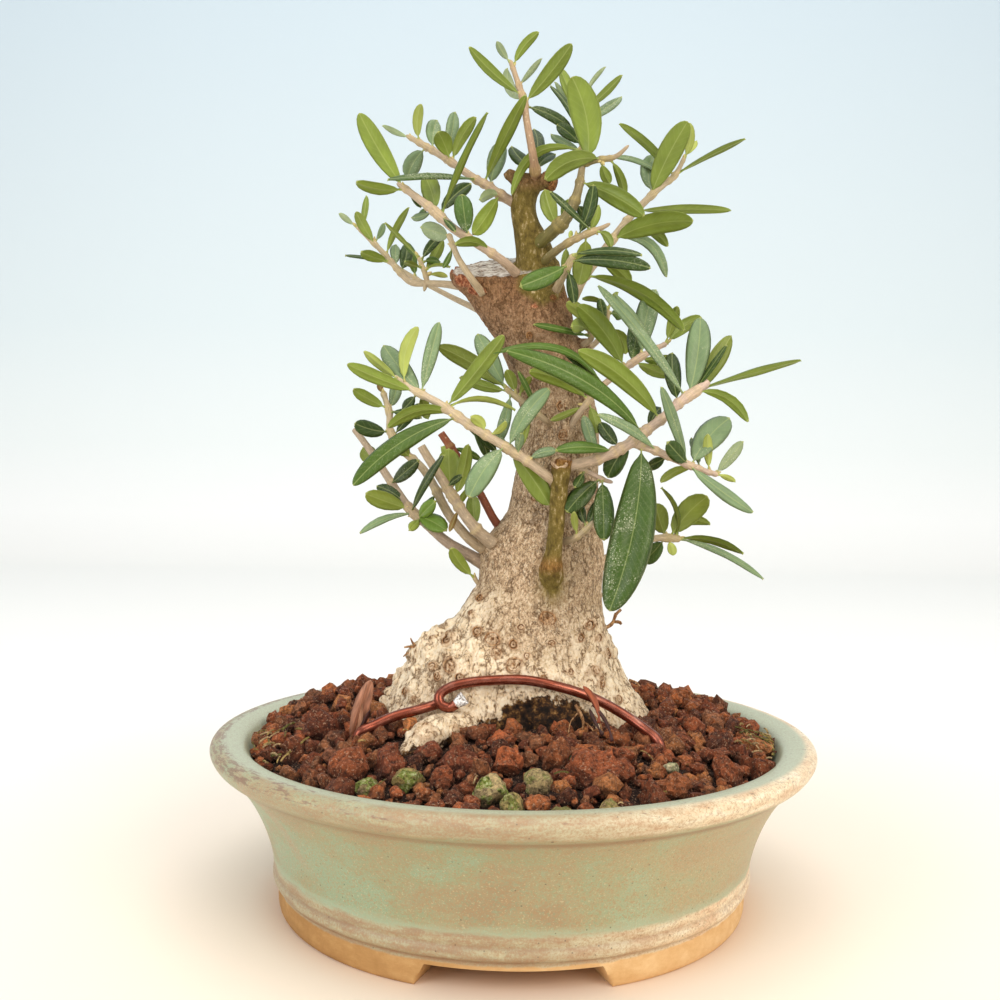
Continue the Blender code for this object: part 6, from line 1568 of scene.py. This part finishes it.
def wire_finish():
    """Aluminium tying wire, anodised copper brown: a smooth metal sheen with faint lengthwise scuffs."""
    material, add, spot = new_material("copper_anodised_wire")
    settings = bpy.context.scene.bonsai_wire
    scuffs = add("noise", add("stretch", add("place", out="Vector"), (0.25, 0.9, 1)), 0.9, 3, 0.6)
    tint = add("ramp", scuffs, stops=((0.45, settings.copper), (0.66, "#9b5f4e"), (0.8, "#c09a8c")))
    dirt = add("step", add("noise", spot, 0.35, 4), 0.58, 0.72, 0, 0.35)
    return dress(material, {
        "Base Color": add("blend", dirt, tint, "#3f2219"),
        "Roughness": add("range", scuffs, 0.3, 0.7, 0.2, 0.32),
        "Metallic": 0.8,
    })


def cut_metal_finish():
    """The bare end where the wire was nipped off: bright torn aluminium."""
    material, add, spot = new_material("nipped_aluminium")
    tears = add("noise", spot, 1.8, 4)
    return dress(material, {
        "Base Color": add("ramp", tears, stops=((0.4, "#77716e"), (0.52, "#dedad6"), (0.62, "#f6f4f1"))),
        "Roughness": add("range", tears, 0.3, 0.7, 0.3, 0.5),
        "Metallic": 0.35,
    })


def withered_finish():
    """Fallen leaf, dried to a thin curled husk: matt, streaked along its length."""
    material, add, _spot = new_material("withered_leaf")
    streaks = add("noise", add("stretch", add("place", out="Vector"), (0.12, 1.5, 1)), 1.8, 4)
    return dress(material, {
        "Base Color": add("tint", 1, add("tone", out="Color"), add("range", streaks, 0.3, 0.7, 0.5, 1.4)),
        "Roughness": 0.7,
        "Normal": add("bump", 0.6, 0.0003, None, streaks),
    })
# Weights of the surface added last, for the bark finish: cream, damp, sawn and young, then         brown, crack, which also carries the painted shade in the hollows of scars, peeling and one that         isn't used.


def net_finish():
    """Moulded polyethylene net: dull black with a faint moulding grain."""
    material, add, spot = new_material("moulded_net")
    grain = add("noise", spot, 1.5, 3)
    colour = add("ramp", grain, stops=((0.3, "#121212"), (0.7, "#2c2c2a")))
    return dress(material, {"Base Color": colour, "Roughness": 0.6})


def paper_finish():
    """Studio paper: matt, warm white on the table and faintly blue higher up, with a tan shadow painted on it
    under the pot.
    """
    material, add, spot = new_material("studio_paper")
    level = add("split", spot, out="Z")
    tint = add("ramp", add("range", level, 0, 900),
               stops=((0, "#f8f6f2"), (0.06, "#f8f8f6"), (0.16, "#edf2f1"), (0.35, "#e1ebee"), (1, "#cbdbe5")))
    around = add("reach", spot, out="Value")
    tint = add("blend", add("step", around, 60, 300, 0.75, 0), tint, "#f5e4d0")
    return dress(material, {
        # Under the pot the paper is painted tan, fading out between 40 and 68 mm from the middle: a painted
        # shadow.
        "Base Color": add("blend", add("step", around, 40, 68, 0.85, 0), tint, "#d2a678"),
        "Roughness": 0.9,
        "Specular IOR Level": 0.1,
    })


# Stage


def make_floor(material):
    """The floor and its backdrop: a profile that runs level, then curves up, swept sideways."""
    settings = bpy.context.scene.bonsai_stage
    reach = settings.floor_size / MM
    turn = np.linspace(0, math.pi / 2, 24)
    bend = 300
    back = reach * 0.42
    y = np.concatenate([[-reach], np.linspace(-400, back, 8), back + bend * np.sin(turn[1:]), [back + bend]])
    z = np.concatenate([[0], np.zeros(8), bend * (1 - np.cos(turn[1:])), [bend + reach]])
    x = np.linspace(-reach, reach, 9)
    points = np.stack([np.tile(x, len(y)), np.repeat(y, len(x)), np.repeat(z, len(x))], axis=1)
    item = new_object("studio_floor", points, grid_faces(len(y), len(x), closed=False), [material])


def add_light(name, place, target, size, power, colour):
    """A soft square light at a place, in metres, that faces a target."""
    data = bpy.data.lights.new(name, "AREA")
    data.shape = "RECTANGLE"
    data.size, data.size_y = size
    data.energy = power
    data.color = linear(colour)[:3]
    item = bpy.data.objects.new(name, data)
    bpy.context.scene.collection.objects.link(item)
    way = np.array(target) - np.array(place)
    item.matrix_world = Matrix.Translation(place) @ Vector(way).to_track_quat("-Z", "Y").to_matrix().to_4x4()


def make_lights():
    """A large soft light over the table, a weaker one from the right and front, and pale surroundings."""
    settings = bpy.context.scene.bonsai_stage
    add_light("overhead", (0.05, -0.25, 1.1), (0, 0, 0.08), (0.9, 0.9), settings.overhead_power, "#fffaf2")
    add_light("front_right", (0.7, -0.9, 0.65), (0, 0, 0.1), (0.7, 0.7), settings.side_power, "#fff3e4")
    add_light("front_left", (-0.8, -0.7, 0.5), (0, 0, 0.1), (0.6, 0.6), settings.side_power * 0.6, "#fcfcff")
    add_light("backdrop_wash", (0, 0.55, 1.3), (0, 1.25, 0.45), (1.8, 0.4), settings.backdrop_power, "#ffffff")
    world = bpy.data.worlds.new("Studio")
    bpy.context.scene.world = world
    world.use_nodes = True
    world.node_tree.nodes["Background"].inputs["Color"].default_value = linear("#f4f6f8")
    world.node_tree.nodes["Background"].inputs["Strength"].default_value = settings.ambient


def make_camera():
    """The camera where the photograph was taken from: level to the table's edge, tilted slightly down."""
    data = bpy.data.cameras.new("camera")
    data.lens = CAMERA_LENS
    data.sensor_width = 36
    item = bpy.data.objects.new("camera", data)
    bpy.context.scene.collection.objects.link(item)
    turn = Matrix.Rotation(math.radians(90) + CAMERA_TILT, 4, "X") @ Matrix.Rotation(CAMERA_ROLL, 4, "Z")
    item.matrix_world = Matrix.Translation(VIEWPOINT * MM) @ turn
    bpy.context.scene.camera = item
    bpy.context.scene.view_settings.view_transform = "Standard"


# Settings


class BonsaiTrunkSettings(PropertyGroup):
    cream: FloatVectorProperty(name="Root bark", description="Colour of the corky bark on the root base",
                               subtype="COLOR", size=3, min=0, max=1, default=linear("#fae5c4")[:3])
    relief: FloatProperty(name="Relief", description="How strongly the bark is carved", default=1, min=0, max=3,
                          subtype="FACTOR")


class BonsaiLeafSettings(PropertyGroup):
    thickness: FloatProperty(name="Thickness", description="Thickness of a leaf at its middle", default=0.00045,
                             min=0.0001, max=0.002, unit="LENGTH", precision=5)
    scale_strength: FloatProperty(name="White scales", description="How strongly the white scales show",
                                  default=0.8, min=0, max=1, subtype="FACTOR")


class BonsaiPotSettings(PropertyGroup):
    glaze: FloatVectorProperty(name="Glaze", description="Main colour of the glaze", subtype="COLOR", size=3,
                               min=0, max=1, default=linear("#9b9e79")[:3])


class BonsaiSoilSettings(PropertyGroup):
    granule_spacing: FloatProperty(name="Granule spacing",
                                   description="Spacing of the granules against the usual", default=1,
                                   min=0.5, max=3, subtype="FACTOR")


class BonsaiWireSettings(PropertyGroup):
    copper: FloatVectorProperty(name="Wire", description="Colour of the anodised wire", subtype="COLOR", size=3,
                                min=0, max=1, default=linear("#864330")[:3])


class BonsaiStageSettings(PropertyGroup):
    floor_size: FloatProperty(name="Floor size", description="Half width of the floor", default=2.2,
                              min=0.5, max=6, unit="LENGTH")
    overhead_power: FloatProperty(name="Overhead light", description="Power of the light above",
                                  default=5.6, min=0, max=200, unit="POWER")
    side_power: FloatProperty(name="Side light", description="Power of the light from the front right",
                              default=7, min=0, max=200, unit="POWER")
    backdrop_power: FloatProperty(name="Backdrop light", description="Power of the light on the backdrop",
                                  default=2.35, min=0, max=200, unit="POWER")
    ambient: FloatProperty(name="Surroundings", description="Brightness of the pale surroundings", default=0.72,
                           min=0, max=5)


# Operators


class BONSAI_OT_trunk(Operator):
    """Build the trunk with its bark"""
    bl_idname = "bonsai.trunk"
    bl_label = "Trunk"

    def execute(self, context):
        settle(make_trunk([old_bark_finish()]), "bark", "trunk")
        return {"FINISHED"}


class BONSAI_OT_shoots(Operator):
    """Build every leafy shoot"""
    bl_idname = "bonsai.shoots"
    bl_label = "Leafy shoots"

    def execute(self, context):
        finishes = [leaf_finish(), young_bark_finish()]
        for name in SHOOTS:
            settle(make_shoot(name, finishes), "foliage", name)
        return {"FINISHED"}


class BONSAI_OT_pot(Operator):
    """Build the glazed bowl"""
    bl_idname = "bonsai.pot"
    bl_label = "Bowl"

    def execute(self, context):
        settle(make_pot([glaze_finish()]), "glaze", "pot")
        return {"FINISHED"}


class BONSAI_OT_soil(Operator):
    """Build the soil and its granules"""
    bl_idname = "bonsai.soil"
    bl_label = "Soil"

    def execute(self, context):
        settle(make_soil([granule_finish()]), "granules", "soil")
        return {"FINISHED"}


class BONSAI_OT_wire(Operator):
    """Build the hold-down wire"""
    bl_idname = "bonsai.wire"
    bl_label = "Wire"

    def execute(self, context):
        settle(make_wire([wire_finish(), cut_metal_finish()]), "copper_wire", "hold_down_wire")
        return {"FINISHED"}


class BONSAI_OT_dry_leaves(Operator):
    """Build the fallen leaves that stand in the soil"""
    bl_idname = "bonsai.dry_leaves"
    bl_label = "Dry leaves"

    def execute(self, context):
        finishes = [withered_finish()]
        for name in DRY_LEAVES:
            settle(make_dry_leaf(name, finishes), "withered", name)
        return {"FINISHED"}


class BONSAI_OT_nets(Operator):
    """Give the nets over the drain holes their finish"""
    bl_idname = "bonsai.nets"
    bl_label = "Drain nets"

    def execute(self, context):
        finish = net_finish()
        for name in ("drain_screen_left", "drain_screen_right"):
            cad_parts[name].material_slots[0].material = finish
        return {"FINISHED"}


class BONSAI_OT_stage(Operator):
    """Build the floor, the lights and the camera"""
    bl_idname = "bonsai.stage"
    bl_label = "Stage"

    def execute(self, context):
        make_floor(paper_finish())
        make_lights()
        make_camera()
        return {"FINISHED"}


STEPS = ("trunk", "shoots", "pot", "soil", "wire", "dry_leaves", "nets", "stage")
SETTINGS = {"bonsai_trunk": BonsaiTrunkSettings, "bonsai_leaves": BonsaiLeafSettings,
            "bonsai_pot": BonsaiPotSettings, "bonsai_soil": BonsaiSoilSettings,
            "bonsai_wire": BonsaiWireSettings, "bonsai_stage": BonsaiStageSettings}


class BONSAI_PT_panel(Panel):
    """The bonsai's settings and steps"""
    bl_idname = "BONSAI_PT_panel"
    bl_label = "Olive Bonsai"
    bl_space_type = "VIEW_3D"
    bl_region_type = "UI"
    bl_category = "Bonsai"

    def draw(self, context):
        for key in SETTINGS:
            group = getattr(context.scene, key)
            for name in group.__annotations__:
                self.layout.prop(group, name)
        for step in STEPS:
            self.layout.operator("bonsai." + step)


CLASSES = (*SETTINGS.values(), BONSAI_OT_trunk, BONSAI_OT_shoots, BONSAI_OT_pot, BONSAI_OT_soil, BONSAI_OT_wire,
           BONSAI_OT_dry_leaves, BONSAI_OT_nets, BONSAI_OT_stage, BONSAI_PT_panel)


def register():
    for item in CLASSES:
        bpy.utils.register_class(item)
    for key, group in SETTINGS.items():
        setattr(bpy.types.Scene, key, PointerProperty(type=group))


def unregister():
    for key in SETTINGS:
        delattr(bpy.types.Scene, key)
    for item in reversed(CLASSES):
        bpy.utils.unregister_class(item)


def main():
    register()
    for step in STEPS:
        getattr(bpy.ops.bonsai, step)()


if __name__ == "__main__":
    main()
